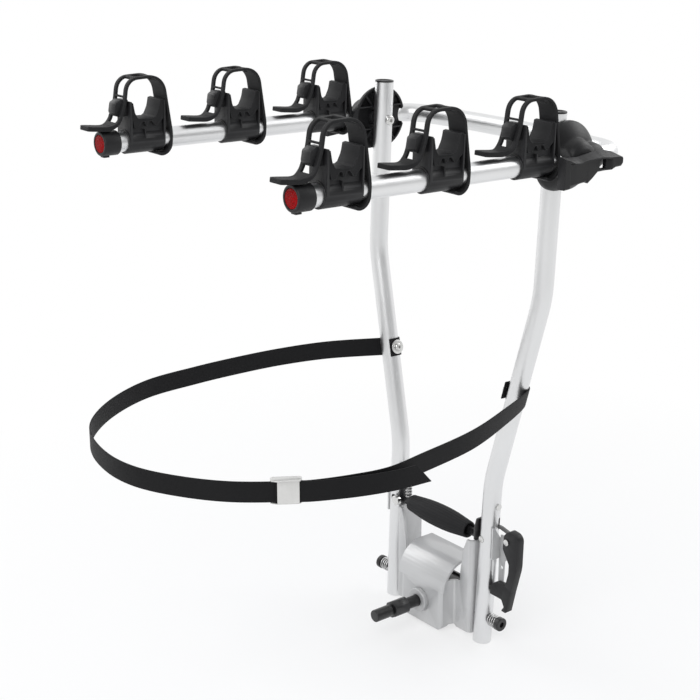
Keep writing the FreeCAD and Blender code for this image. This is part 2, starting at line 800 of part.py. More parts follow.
def bracket():
    """Guide bracket welded outside each upright: a cheek, a folded wing and a tail strip."""
    made = body("bracket_right")
    inner = "bracket_face"
    back = "bracket_fold"
    thin = "bracket_plate"
    sk = sketch(made, "XY", "bracket_low")
    outline(sk, [(inner, "-bracket_front"), (f"{inner} + {thin}", "-bracket_front"),
                 (f"{inner} + {thin}", f"{back} - {thin}"), ("bracket_reach", f"{back} - {thin}"),
                 ("bracket_reach", back), (inner, back)])
    pad(made, sk, "bracket_top - bracket_low")
    cheek = sketch(made, "YZ")
    outline(cheek, [("-bracket_front - 1", "bracket_low - 1"), (f"{back} - {thin}", "bracket_low - 1"),
                    (f"{back} - {thin}", "bracket_mid"), ("-bracket_front - 1", "bracket_mid")])
    pocket(made, cheek)
    top = sketch(made, "YZ", f"{inner} + {thin}")
    outline(top, [("bracket_front / 2 - bracket_front", "bracket_top + 1"),
                  (f"{back} + 1", "bracket_top + 1"), (f"{back} + 1", "bracket_top - 19"),
                  (f"{back} - {thin}", "bracket_top - 19")])
    pocket(made, top, f"2 * {thin}")
    wing = sketch(made, "XZ")
    edge = f"{inner} + {thin}"
    outline(wing, [(edge, "bracket_top + 1"), (edge, "bracket_top - 14"), ("bracket_reach - 16", "bracket_top - 14"),
                   ("bracket_reach - 16", "bracket_top - 2"), ("bracket_reach - 2", "bracket_top - 2"),
                   ("bracket_reach - 2", "bracket_top - 20", "plate"), ("bracket_reach - 19", "bracket_top - 26"),
                   ("bracket_reach - 19", "bracket_mid + 4", "plate"), ("bracket_reach - 29", "bracket_mid - 4"),
                   ("bracket_reach - 31", "bracket_low + 10", "plate"), (edge, "bracket_low - 1"),
                   ("bracket_reach + 1", "bracket_low - 1"), ("bracket_reach + 1", "bracket_top + 1")])
    pocket(made, wing)
    bore(made, "XZ", [("latch_pin_x", "latch_pin_z", "latch_pin_radius + run_gap"),
                      ("bracket_face + 6", "bracket_mid - 15", "latch_pin_radius")])
    mirrored("bracket_left", made)
    return made


def guide_bolts():
    """Hexagon bolts through the fronts of the uprights."""
    made = body("guide_bolt_right", "lean", node=False, x="guide_bolt_half", z="guide_bolt_run")
    seat = "tube_od / 2 + skin_gap"
    sk = sketch(made, "XZ", seat)
    hexagon(sk, "0", "0", "guide_bolt_flats")
    pad(made, sk, "guide_bolt_head")
    disc(made, "XZ", f"-({seat})", "0", "0", "guide_bolt_radius", f"2 * ({seat})")
    return group("guide_bolts", [made, mirrored("guide_bolt_left", made, node=False)])


def guide_pins():
    """Pins across the uprights above the slot."""
    made = body("guide_pin_right", "lean", node=False, x=upright_x("guide_pin_run"), z="guide_pin_run")
    disc(made, "YZ", "-tube_od / 2", "0", "0", "guide_pin_radius", "tube_od + guide_pin_proud")
    disc(made, "YZ", "tube_od / 2 + skin_gap", "0", "0", "guide_pin_head", "guide_pin_proud")
    return group("guide_pins", [made, mirrored("guide_pin_left", made, node=False)])


def spring_seat():
    """Tab on the left upright that the return spring bears on."""
    made = body("spring_seat")
    tube = f"{upright_x('spring_top')} - tube_od / 2 - skin_gap"
    sk = sketch(made, "XZ")
    outline(sk, [(f"-({tube})", "spring_top"), (f"-({tube})", "spring_top + seat_wide"),
                 (f"seat_plate - ({tube})", "spring_top + seat_wide"),
                 (f"seat_plate - ({tube})", "spring_top + seat_plate"),
                 ("-seat_inner", "spring_top + seat_plate"), ("-seat_inner", "spring_top")])
    pad(made, sk, "seat_wide", both=True)
    return made


# Release bar, grip, link and latch

def release_bar():
    """Flat bar between the uprights with an upright plate at each end."""
    made = body("release_bar")
    low = "bar_level - bar_tall / 2"
    high = "bar_level + bar_tall / 2"
    inner = "bar_half - end_plate"
    block(made, "XZ", [("-bar_half", low), ("bar_half", low), ("bar_half", high), ("-bar_half", high)],
          "bar_thick")
    for sign in ("", "-"):
        sk = sketch(made, "YZ", f"{sign}({inner} + end_plate / 2) - end_plate / 2")
        outline(sk, [("-end_plate_front", "end_plate_low", "end_plate"),
                     ("end_plate_back", "end_plate_low", "end_plate"),
                     ("end_plate_back", "end_plate_top", "end_plate"),
                     ("-end_plate_front / 2", "end_plate_top", "end_plate"),
                     ("-end_plate_front", "bar_level + bar_tall", "end_plate")])
        pad(made, sk, "end_plate")
    return made


def hand_grip():
    """Barrel-shaped soft grip on the bar, open at both ends."""
    made = body("hand_grip", z="bar_level")
    sk = sketch(made, "XY")
    outline(sk, [("-grip_half", "0"), ("-grip_half", "grip_end_radius"),
                 ("-grip_half * 0.55", "grip_mid_radius - 1.4", "90"), ("0", "grip_mid_radius + 0.1", "150"),
                 ("grip_half * 0.55", "grip_mid_radius - 1.4", "90"),
                 ("grip_half", "grip_end_radius"), ("grip_half", "0")])
    revolve(made, sk, "H_Axis")
    slot = sketch(made, "YZ")
    wide = "bar_thick / 2 + fit_gap"
    tall = "bar_tall / 2 + fit_gap"
    outline(slot, [(wide, f"-({tall})"), (wide, tall), (f"-({wide})", tall), (f"-({wide})", f"-({tall})")])
    pocket(made, slot)
    bore(made, "YZ", [("0", "0", "grip_mouth_radius")], "grip_half", "grip_mouth_deep")
    bore(made, "YZ", [("0", "0", "grip_mouth_radius")], "grip_mouth_deep - grip_half", "grip_mouth_deep")
    return made


def release_link():
    """Strip from the bar's right end through the upright's slot to the latch lever."""
    made = body("release_link", y="link_back")
    thick = "link_thick"
    out = "bracket_face + bracket_plate"
    block(made, "XZ", [("bar_half", "link_level"), (out, "link_level"), (f"{out} + 19", "link_level - 4"),
                       (f"{out} + 20", f"link_level - 4 + {thick}"), (f"{out} + 2", f"link_level + {thick}"),
                       ("bar_half", f"link_level + {thick}")], "link_wide")
    return made


def return_spring():
    """Spring that presses the bar down."""
    low = "bar_level + bar_tall / 2 + skin_gap"
    place = FreeCAD.Placement(V(-size("spring_half"), 0, size(low)), FreeCAD.Rotation())
    made = spring("return_spring", f"spring_top - skin_gap - ({low})", "spring_radius", "spring_wire",
                  RETURN_SPRING_TURNS, place)
    NODES.append(made)
    return made


def latch_lever():
    """Hand lever beside the right upright, a rounded head, a long grip and an inward nose."""
    made = body("latch_lever")
    corners = [("145.5", "150.5", "6"), ("154", "159.5", "8"), ("174.8", "157", "11"), ("173.5", "104", "60"),
               ("163", "64", "60"), ("154.2", "26.5", "3"), ("144", "27.5", "1"), ("149.5", "35", "3"),
               ("143.9", "45.6", "3"), ("119.4", "46.4", "1.5"), ("119.4", "59", "2"), ("127", "67.2", "4"),
               ("150.5", "69.6", "3"), ("156.5", "92.4", "20"), ("157", "107", "8"), ("143.4", "128.5", "4")]
    block(made, "XZ", corners, "latch_thick")
    bore(made, "XZ", [("latch_pin_x", "latch_pin_z", "latch_pin_radius + run_gap")])
    return made


def latch_pin():
    """Pin that the latch lever turns on, fixed in the right bracket."""
    made = body("latch_pin", x="latch_pin_x", z="latch_pin_z")
    front = "latch_thick / 2 + skin_gap"
    disc(made, "XZ", "-bracket_fold", "0", "0", "latch_pin_radius", f"bracket_fold + {front}")
    disc(made, "XZ", front, "0", "0", "1.6 * latch_pin_radius", "latch_pin_radius / 2")
    return made


# Arms and elbows

def arm_tube():
    """One tube bent to a U: both arms and the slightly bowed cross run."""
    made = body("arm_tube", "arms")
    path = sketch(made, "XY")
    bowed_path(path)
    swept(made, path, tube_section)
    bore(made, "YZ", [("0", "0", "bolt_radius + fit_gap")])
    return made


def bowed_path(path):
    """Two straight arms, two corner arcs and one wide arc, each tangent to the next."""
    half = size("arm_half")
    reach = size("arm_reach")
    start = size("corner_start")
    r = size("corner_radius")
    top = size("bow_reach")
    a = half - r
    drop = top - start
    wide = (a * a + drop * drop - r * r) / (2 * (drop - r))
    mid = top - wide
    slope = math.atan2(start - mid, a)
    normal = V(0, 0, 1)
    lines = [Part.LineSegment(V(half, -reach, 0), V(half, start, 0)),
             Part.ArcOfCircle(Part.Circle(V(a, start, 0), normal, r), 0, slope),
             Part.ArcOfCircle(Part.Circle(V(0, mid, 0), normal, wide), slope, math.pi - slope),
             Part.ArcOfCircle(Part.Circle(V(-a, start, 0), normal, r), math.pi - slope, math.pi),
             Part.LineSegment(V(-half, start, 0), V(-half, -reach, 0))]
    right, near, bow, far, left = [path.addGeometry(line) for line in lines]
    path.addConstraint(Sketcher.Constraint("Tangent", right, 2, near, 1))
    path.addConstraint(Sketcher.Constraint("Tangent", near, 2, bow, 1))
    path.addConstraint(Sketcher.Constraint("Tangent", bow, 2, far, 1))
    path.addConstraint(Sketcher.Constraint("Tangent", far, 2, left, 1))
    pin_point(path, right, 1, "arm_half", "-arm_reach")
    pin_point(path, right, 2, "arm_half", "corner_start")
    pin_point(path, left, 1, "-arm_half", "corner_start")
    pin_point(path, left, 2, "-arm_half", "-arm_reach")
    index = path.addConstraint(Sketcher.Constraint("Radius", near, r))
    path.setExpression(f"Constraints[{index}]", tied("corner_radius"))
    peak = path.addGeometry(Part.Point(V(0, top, 0)), True)
    path.addConstraint(Sketcher.Constraint("PointOnObject", peak, 1, bow))
    pin_point(path, peak, 1, "0", "bow_reach")
    path.addConstraint(Sketcher.Constraint("PointOnObject", bow, 3, -2))


def end_cap():
    """Cap over the front end of an arm, with a seat for its reflector and a stop below."""
    made = body("end_cap_right", "arms", x="arm_half")
    disc(made, "XZ", "cap_back", "0", "0", "cap_radius", "cap_front - cap_back")
    front = -size("cap_front")
    rounded_edges(made, "tube_wall", lambda e: abs(e.CenterOfMass.y - front) < 15 and e.Length > 100
                  and e.BoundBox.YLength < 0.01 and e.CenterOfMass.y < front + 0.1)
    nub = sketch(made, "XY", "-cap_nub")
    outline(nub, [("-3.5", "10 - cap_front"), ("3.5", "10 - cap_front"), ("3.5", "19 - cap_front"),
                  ("-3.5", "19 - cap_front")])
    pad(made, nub, "cap_nub - cap_radius + 2 * tube_wall")
    bore(made, "XZ", [("0", "0", "tube_od / 2 + fit_gap")], "arm_reach + skin_gap", "arm_reach - cap_back + 1")
    bore(made, "XZ", [("0", "0", "reflector_radius + fit_gap")], "cap_front", "reflector_sink")
    mirrored("end_cap_left", made)
    return made


def reflectors():
    made = body("reflector_right", "arms", node=False, x="arm_half")
    disc(made, "XZ", "cap_front - reflector_sink", "0", "0", "reflector_radius", "reflector_thick")
    return group("reflectors", [made, mirrored("reflector_left", made, node=False)])


def elbow_inner():
    """Inner half of the elbow: a ribbed disc, open towards the upright, that clasps the tube."""
    made = body("elbow_inner_right", "arms", y="elbow_shift")
    join = "arm_half - skin_gap / 2"
    disc(made, "YZ", "elbow_face", "0", "0", "elbow_radius", f"{join} - elbow_face")
    well = sketch(made, "YZ", "elbow_face + elbow_floor")
    circle(well, "0", "0", "elbow_radius - elbow_rim")
    circle(well, "-elbow_shift", "0", "elbow_hub")
    pocket(made, well, "elbow_floor")
    for level in ("rib_high", "-rib_high"):
        reach = "sqrt((elbow_radius - elbow_rim / 2)^2 - (rib_high + rib)^2)"
        elbow_rib(made, [(f"-({reach})", f"{level} - rib / 2"), (reach, f"{level} - rib / 2"),
                         (reach, f"{level} + rib / 2"), (f"-({reach})", f"{level} + rib / 2")])
    for angle in (50, 90, 130, 230, 270, 310):
        start = f"(rib_high + rib / 4) / abs(sin({angle} deg))"
        elbow_rib(made, ray(angle, start, "elbow_radius - elbow_rim / 2", "rib"))
    bore(made, "YZ", [("notch_centre", "0", "notch_radius")])
    channel(made)
    bore(made, "YZ", [("-elbow_shift", "0", "bolt_radius + fit_gap")])
    mirrored("elbow_inner_left", made)
    return made


def elbow_rib(made, corners):
    sk = sketch(made, "YZ", "elbow_face")
    outline(sk, corners)
    pad(made, sk, "elbow_floor")


def ray(angle, start, end, width):
    """A thin strip along a ray from the origin."""
    cos = f"cos({angle} deg)"
    sin = f"sin({angle} deg)"
    half = f"{width} / 2"
    return [(f"({r}) * {cos} - ({s} * {half}) * {sin}", f"({r}) * {sin} + ({s} * {half}) * {cos}")
            for r, s in ((start, "-1"), (end, "-1"), (end, "1"), (start, "1"))]


def channel(made):
    """The bed of the arm's tube."""
    bore(made, "XZ", [("arm_half", "0", "tube_od / 2 + fit_gap")])


def elbow_outer():
    """Outer half of the elbow: a dome over the tube with the knuckle of its lever."""
    made = body("elbow_outer_right", "arms", y="elbow_shift")
    start = "arm_half + skin_gap / 2"
    sk = sketch(made, "XY")
    outline(sk, [(start, "0"), (start, "dome_radius"), ("dome_end", "dome_radius", "dome_round"),
                 ("dome_end", "0")])
    revolve(made, sk, "H_Axis")
    knuckle(made)
    bore(made, "YZ", [("notch_centre", "0", "notch_radius")])
    channel(made)
    bore(made, "YZ", [("-elbow_shift", "0", "bolt_radius + fit_gap")],
         "bolt_end + skin_gap", "bolt_end + 1 - arm_half")
    mirrored("elbow_outer_left", made)
    return made


def knuckle(made):
    """Web and barrel that carry the lever's pin."""
    hinge = "-lever_hinge_y - elbow_shift"
    web = sketch(made, "XY", "-knuckle_low")
    outline(web, [("dome_end - 6", "-28"), ("lever_hinge_x - 3", "-28"), ("lever_hinge_x", hinge),
                  ("lever_hinge_x - knuckle_radius", hinge), ("lever_hinge_x - 6", "-46"), ("dome_end - 6", "-37")])
    pad(made, web, "knuckle_low - knuckle_top")
    barrel = sketch(made, "XY", "-knuckle_low")
    circle(barrel, "lever_hinge_x", hinge, "knuckle_radius")
    pad(made, barrel, "knuckle_low - knuckle_top")
    bore(made, "XY", [("lever_hinge_x", hinge, "lever_pin_radius + run_gap")])


def elbow_lever():
    """Release lever along the outside of the elbow, forked round its knuckle."""
    made = body("elbow_lever_right", "arms")
    sk = sketch(made, "YZ", "lever_face")
    outline(sk, [("-57", "13.5", "4"), ("-43.2", "9.6", "20"), ("0", "9.6", "60"), ("26", "14", "20"),
                 ("50.2", "5.9", "20"), ("61.5", "0", "3"), ("62.7", "-5.1", "4"), ("60", "-10.9", "3"),
                 ("47", "-10", "8"), ("36.8", "-16", "8"), ("20.8", "-16", "8"), ("5", "-29.5", "6"),
                 ("-32.1", "-30.3", "40"), ("-57", "-34", "5")])
    pad(made, sk, "lever_end - lever_face")
    fork = sketch(made, "XY", "skin_gap * 2 - knuckle_top")
    outline(fork, [("lever_face - 1", "-lever_hinge_y - 10"), ("lever_end - 2.5", "-lever_hinge_y - 10"),
                   ("lever_end - 2.5", "-lever_hinge_y + 7"), ("lever_face + 4.5", "-18"), ("lever_face - 1", "-18")])
    pocket(made, fork, "knuckle_low - knuckle_top + 4 * skin_gap")
    corner = sketch(made, "XY")
    outline(corner, [("lever_face - 1", "-58"), ("lever_hinge_x", "-58"), ("lever_face - 1", "-lever_hinge_y")])
    pocket(made, corner)
    window = sketch(made, "YZ", "lever_end")
    outline(window, [("33", "-10", "3"), ("46", "-6", "3"), ("46", "3", "3"), ("33", "4", "3")])
    pocket(made, window, "(lever_end - lever_face) * 0.6")
    bore(made, "XY", [("lever_hinge_x", "-lever_hinge_y", "lever_pin_radius + run_gap")])
    mirrored("elbow_lever_left", made)
    return made


def lever_pins():
    """Upright pins that the elbow levers swing on."""
    made = body("lever_pin_right", "arms", node=False, x="lever_hinge_x", y="-lever_hinge_y")
    disc(made, "XY", "-30", "0", "0", "lever_pin_radius", "39")
    return group("lever_pins", [made, mirrored("lever_pin_left", made, node=False)])


def elbow_bolts():
    """Button-head bolts on which the arms fold."""
    made = body("elbow_bolt_right", "arms", node=False)
    disc(made, "YZ", "bolt_seat", "0", "0", "bolt_radius", "bolt_end - bolt_seat")
    head = body_head(made)
    return group("elbow_bolts", [head, mirrored("elbow_bolt_left", head, node=False)])


def body_head(made):
    """A rounded head with a hexagon socket."""
    disc(made, "YZ", "bolt_seat - bolt_head", "0", "0", "bolt_head_radius", "bolt_head")
    near = size("bolt_seat - bolt_head")
    rounded_edges(made, "bolt_head * 0.6", lambda e: e.CenterOfMass.x < near + 0.01)
    sk = sketch(made, "YZ", "bolt_seat - bolt_head / 3")
    hexagon(sk, "0", "0", "bolt_socket")
    pocket(made, sk, "bolt_head")
    return made


# Cradles

def cradle_base():
    """Sleeve on the arm, two posts, the core under the pad and the hook for the strap."""
    made = body("cradle_base", node=False)
    disc(made, "XZ", "-sleeve_back", "0", "0", "sleeve_radius", "sleeve_back + sleeve_front")
    block(made, "YZ", [("-28.8", "0"), ("-28.8", "55.8", "1"), ("-25.6", "55.8", "1"), ("-24.8", "0")],
          "cradle_width")
    block(made, "YZ", [("24.6", "0"), ("24.6", "54.9", "1"), ("27.4", "54.4", "1"), ("27", "0")],
          "cradle_width")
    block(made, "YZ", [("-25", "0"), ("25", "0"), ("25", "core_top"), ("-25", "core_top")], "core_width")
    block(made, "YZ", [("-5.6", "4"), ("-3.6", "4"), ("-3.6", "sleeve_radius - 0.5"),
                       ("-5.6", "sleeve_radius - 0.5")], "cradle_width - 1")
    block(made, "YZ", [("-27", "36"), ("-27", "58", "1"), ("-38", "58.5", "3"), ("-46", "54", "4"),
                       ("-48", "41", "4"), ("-43", "35.5", "3")], "hook_width")
    bore(made, "XZ", [("0", "0", "tube_od / 2 + skin_gap")])
    return made


def cradle_pad():
    """Rubber saddle with a round mouth above and three fingers below on each side."""
    made = body("cradle_pad", node=False)
    block(made, "YZ", [("-24.3", "54"), ("-23.4", "53.6"), ("-20.4", "39.1", "14"),
                       ("-15.5", "32", "4"), ("11", "31", "3"), ("15.3", "34", "3"), ("21.5", "41.7", "8"),
                       ("23.4", "53.6"), ("24.3", "54"), ("24.3", "30", "3"),
                       ("17.8", "24.5", "2"), ("12.5", "18.6", "2.5"), ("5.6", "27.3", "1.5"),
                       ("1.6", "27.3", "1.5"), ("-2.1", "16.6", "1.8"), ("-5.8", "27.3", "1.5"),
                       ("-9.4", "27.3", "1.5"), ("-15.2", "18.9", "2"), ("-21.8", "19.5", "2"), ("-24.3", "30", "3")],
          "cradle_width - 1")
    groove = sketch(made, "YZ")
    top = "core_top + fit_gap"
    outline(groove, [("-26", "0"), ("26", "0"), ("26", top), ("-26", top)])
    pocket(made, groove, "core_width + 2 * fit_gap", both=True)
    return made


def cradle_strap():
    """Rubber band over the mouth: anchored under the sleeve, slotted, hooked in front, with a pull tab."""
    made = body("cradle_strap", node=False)
    path = sketch(made, "YZ")
    low = "-sleeve_radius - strap_thick / 2 - skin_gap"
    outline(path, [("2", low), ("38", low, "12"), ("38", "8", "60"), ("25", "88", "24"), ("-30.5", "86", "18"),
                   ("-34.5", "56", "50"), ("-45", "24", "16"), ("-62", "21.2")], closed=False)
    swept(made, path, band_section)
    tab = [("-44", "28"), ("-60", "24.5", "30"), ("-92.5", "26.5", "2.5"), ("-92.5", "20.5", "2.5"),
           ("-74", "17.6", "30"), ("-50", "19", "10"), ("-44", "23")]
    block(made, "YZ", tab, "tab_width")
    nub = [("31", "50"), ("36.6", "51", "1"), ("38.9", "38", "1"), ("34", "38")]
    block(made, "YZ", nub, "tab_width")
    front = sketch(made, "XZ", "60")
    slot_rectangle(front, "33.5", "61")
    slot_rectangle(front, "65", "79")
    pocket(made, front, "38")
    top = sketch(made, "XY", "95")
    slot_rectangle(top, "-17", "0")
    slot_rectangle(top, "6", "20")
    pocket(made, top, "16")
    bore(made, "XZ", [("0", "0", "tube_od / 2 + skin_gap")])
    rear = sketch(made, "XZ", "-22")
    outline(rear, [("-3", "58"), ("3", "58"), ("3", "62"), ("-3", "62")])
    pocket(made, rear, "20")
    return made


def band_section(sk):
    """The band's section, square to its path."""
    wide = "strap_width / 2"
    thin = "strap_thick / 2"
    outline(sk, [(wide, f"-{thin}"), (wide, thin), (f"-{wide}", thin), (f"-{wide}", f"-{thin}")])


def slot_rectangle(sk, low, high):
    outline(sk, [("slot_half", low, "3"), ("slot_half", high, "3"), ("-slot_half", high, "3"),
                 ("-slot_half", low, "3")])


def cradles():
    """Six cradles, three along each arm."""
    masters = [("base", cradle_base()), ("pad", cradle_pad()), ("strap", cradle_strap())]
    for side, sign in (("right", ""), ("left", "-")):
        for place in range(CRADLES_PER_ARM):
            for name, master in masters:
                made = group(f"cradle_{name}_{side}_{place + 1}", [master])
                put(made, "arms", x=f"{sign}arm_half", y=f"{place} * cradle_pitch - cradle_first")


# Safety strap

WEB_LOOP = [(-189, -72), (-208.5, -151), (-216, -236), (-216.6, -298), (-210, -385), (-172.4, -467),
            (-116.7, -530), (-65, -558.5), (0.5, -573), (45.8, -571.6), (83, -561), (136.4, -532),
            (172.5, -503), (200.4, -469.8), (207.6, -459), (214.8, -448.2), (222, -437.4), (229.2, -426.6),
            (247.6, -376), (257.8, -326), (249, -258), (230.9, -157.6), (199.6, -71)]
TAIL = [(207.9, -462.8, 0), (216.8, -449.5, 0), (225.7, -436.2, 0), (232.8, -425.6, 0), (255.5, -370, -1),
        (267, -318, -2.5), (269, -262, -4.5)]
SLOPE = "atan((shoulder_half - neck_half) / (shoulder_run - neck_run))"
WEB_X = "neck_half + (shoulder_half - neck_half) * (web_run - neck_run) / (shoulder_run - neck_run)"


def leaning(x, y, z):
    """A vector of the leaning uprights' frame in world axes."""
    lean = math.radians(size("lean"))
    return V(x, y * math.cos(lean) + z * math.sin(lean), z * math.cos(lean) - y * math.sin(lean))


def wrap(sign):
    """Stations round an upright, from the strap's end on its inside to where it leaves for the loop."""
    slope = math.radians(size(SLOPE))
    radius = size("tube_od / 2 + skin_gap + web_thick / 2")
    centre = leaning(sign * size(WEB_X), 0, size("web_run"))
    out = leaning(sign * math.cos(slope), 0, -math.sin(slope))
    back = leaning(0, 1, 0)
    up = leaning(sign * math.sin(slope), 0, math.cos(slope))
    turns = [math.radians(angle) for angle in (180, 150, 120, 90, 60, 30)]
    spots = [centre - out * radius - back * run for run in (13, 6)]
    spots += [centre + (out * math.cos(a) + back * math.sin(a)) * radius for a in turns]
    return spots, up


def band(spots, ups, tips=0):
    """Webbing through the spots, its width along ups; the upper edge may stop short by tips."""
    curve = Part.BSplineCurve()
    curve.interpolate(spots)
    knots = curve.getKnots()
    stops = sorted(knots + [(a + b) / 2 for a, b in zip(knots, knots[1:])])
    tall = size("web_width / 2")
    thin = size("web_thick / 2")
    corners = [[], [], [], []]
    for stop in stops:
        spot = curve.value(stop)
        along = curve.tangent(stop)[0]
        place = station(knots, stop)
        share = place % 1
        up = ups[int(place)] * (1 - share) + ups[min(int(place) + 1, len(ups) - 1)] * share
        up = (up - along * up.dot(along)).normalize()
        side = along.cross(up)
        for corner, (rise, shift) in zip(corners, ((1, 1), (1, -1), (-1, -1), (-1, 1))):
            cut = along * (tips * (1 + rise) / 2 * (stop / stops[-1]))
            corner.append(spot + up * (rise * tall) + side * (shift * thin) - cut)
    edges = []
    for corner in corners:
        line = Part.BSplineCurve()
        line.interpolate(corner)
        edges.append(line.toShape())
    faces = [Part.makeRuledSurface(edges[i], edges[(i + 1) % 4]) for i in range(4)]
    for end in (0, -1):
        tip = [corner[end] for corner in corners]
        faces.append(Part.makeFilledFace(Part.makePolygon(tip + tip[:1]).Edges))
    shell = Part.makeShell(faces)
    shell.sewShape()
    solid = Part.makeSolid(shell)
    if solid.Volume < 0:
        solid.reverse()
    return solid


def station(knots, stop):
    """The place of a parameter among the knots, as a whole and a part."""
    for i, (a, b) in enumerate(zip(knots, knots[1:])):
        if stop <= b:
            return i + (stop - a) / (b - a)
    return len(knots) - 1


def safety_strap():
    """One band from upright to upright round the back of the bicycles, with its free tail."""
    level = size("web_run * cos(lean * 1 deg)")
    left, left_up = wrap(-1)
    right, right_up = wrap(1)
    loop = [V(x, y, level) for x, y in WEB_LOOP]
    up = V(0, 0, 1)
    spots = left + loop + right[::-1]
    ups = [left_up] * len(left) + [up] * len(loop) + [right_up] * len(right)
    for i, near in ((len(left), left_up), (len(left) + len(loop) - 1, right_up)):
        ups[i] = (up + near * 0.5).normalize()
    main = band(spots, ups)
    tail = band([V(x, y, level + drop) for x, y, drop in TAIL], [up] * len(TAIL), 26)
    holes = [strap_hole(side) for side in (-1, 1)]
    made = doc.addObject("Part::Feature", "safety_strap")
    made.Label = "safety_strap"
    made.Shape = Part.makeCompound([main.cut(holes), tail])
    NODES.append(made)
    print(f"safety_strap: {main.Edges[0].Length:.0f} mm long in its loop, {tail.Edges[0].Length:.0f} mm tail")


def strap_hole(side):
    """The screw's way through the strap's end."""
    slope = math.radians(size(SLOPE))
    centre = leaning(side * size(WEB_X), 0, size("web_run"))
    inward = leaning(-side * math.cos(slope), 0, math.sin(slope))
    start = centre + inward * size("tube_od / 2")
    return Part.makeCylinder(size("strap_screw_radius + fit_gap"), size("web_thick * 2"), start, inward)


def across(owner, offset, sign=""):
    """A sketch square to the upright's slope at the strap's height, offset outward from its axis."""
    sk = sketch(owner, "YZ")
    sk.AttachmentOffset = FreeCAD.Placement(V(), FreeCAD.Rotation(V(1, 0, 0), size(f"{sign}{SLOPE}")))
    sk.setExpression("AttachmentOffset.Rotation.Angle", tied(f"{sign}{SLOPE}"))
    sk.setExpression("AttachmentOffset.Base.y", tied(f"web_run - ({offset}) * sin({SLOPE})"))
    sk.setExpression("AttachmentOffset.Base.z", tied(f"{sign}({WEB_X} + ({offset}) * cos({SLOPE}))"))
    return sk


def strap_washers():
    """Washers over the strap's ends."""
    made = body("strap_washer_right", "lean", node=False)
    face = "tube_od / 2 + web_thick + 2 * skin_gap"
    sk = across(made, f"-({face}) - washer_thick")
    circle(sk, "0", "0", "washer_radius")
    circle(sk, "0", "0", "strap_screw_radius + fit_gap")
    pad(made, sk, "washer_thick")
    return group("strap_washers", [made, mirrored("strap_washer_left", made, node=False)])


def strap_screws():
    """Round-headed screws through washer, strap and tube wall."""
    made = body("strap_screw_right", "lean", node=False)
    seat = "tube_od / 2 + web_thick + washer_thick + 3 * skin_gap"
    sk = across(made, f"-({seat}) - strap_screw_proud")
    circle(sk, "0", "0", "strap_screw_head")
    pad(made, sk, "strap_screw_proud")
    rounded_edges(made, "strap_screw_proud * 0.6",
                  lambda e: e.CenterOfMass.x < size(f"{WEB_X} - ({seat}) - strap_screw_proud / 2"))
    shank = across(made, f"-({seat}) - strap_screw_proud / 2")
    circle(shank, "0", "0", "strap_screw_radius")
    pad(made, shank, "strap_screw_long")
    socket = across(made, f"-({seat}) - strap_screw_proud / 2")
    hexagon(socket, "0", "0", "strap_screw_radius * 1.3")
    pocket(made, socket, "strap_screw_proud", both=True)
    return group("strap_screws", [made, mirrored("strap_screw_left", made, node=False)])


def buckle_place(made):
    """Stands a piece at the buckle, +x along the strap and -y outward."""
    made.Placement = FreeCAD.Placement(V(), FreeCAD.Rotation(V(0, 0, 1), size("buckle_turn")))
    made.setExpression("Placement.Base.x", tied("buckle_x"))
    made.setExpression("Placement.Base.y", tied("-buckle_y"))
    made.setExpression("Placement.Base.z", tied("web_run * cos(lean * 1 deg)"))
    made.setExpression("Placement.Rotation.Angle", tied("buckle_turn * 1 deg"))
    return made


def strap_buckle():
    """Folded frame round both layers of webbing, with the cam's pin."""
    made = buckle_place(body("strap_buckle"))
    face = "1.5 * web_thick + 3 * skin_gap"
    tall = "web_width / 2 + skin_gap"
    sk = sketch(made, "XY", f"-({tall}) - buckle_sheet")
    outline(sk, [("-buckle_front", f"-({face}) - buckle_sheet"), ("buckle_front", f"-({face}) - buckle_sheet"),
                 ("buckle_front", f"-({face})"), ("-buckle_front", f"-({face})")])
    pad(made, sk, f"2 * ({tall} + buckle_sheet)")
    for level in (tall, f"-({tall}) - buckle_sheet"):
        flange = sketch(made, "XY", level)
        outline(flange, [("-buckle_front", f"-({face}) - buckle_sheet"),
                         ("buckle_front", f"-({face}) - buckle_sheet"), ("buckle_reach - 5", "-1.5"),
                         ("buckle_reach - 5", "buckle_deep", "3"), ("-buckle_reach", "buckle_deep", "5"),
                         ("-buckle_reach", "-1.5", "2")])
        pad(made, flange, "buckle_sheet")
    disc(made, "XY", f"-({tall}) - buckle_sheet / 2", "-cam_x", "cam_y", "cam_pin",
         f"2 * ({tall}) + buckle_sheet")
    return made


def buckle_cam():
    """Toothless cam behind the webbing with its thumb plate."""
    made = buckle_place(body("buckle_cam"))
    half = "web_width / 2 - 2 * skin_gap"
    drum = "cam_y - web_thick / 2 - skin_gap"
    sk = sketch(made, "XY", f"-({half})")
    circle(sk, "-cam_x", "cam_y", drum)
    pad(made, sk, f"2 * ({half})")
    plate = sketch(made, "XY", f"-({half})")
    outline(plate, [("-cam_x", f"cam_y + ({drum}) * 0.3"), ("cam_reach", "cam_y + 1"),
                    ("cam_reach + 2", "cam_y + 3", "0.6"), ("cam_reach + 0.8", "cam_y + 4.2", "0.6"),
                    ("cam_reach - 1.4", "cam_y + 2.6"), ("-cam_x", f"cam_y + ({drum}) * 0.8")])
    pad(made, plate, f"2 * ({half})")
    bore(made, "XY", [("-cam_x", "cam_y", "cam_pin + run_gap")])
    return made


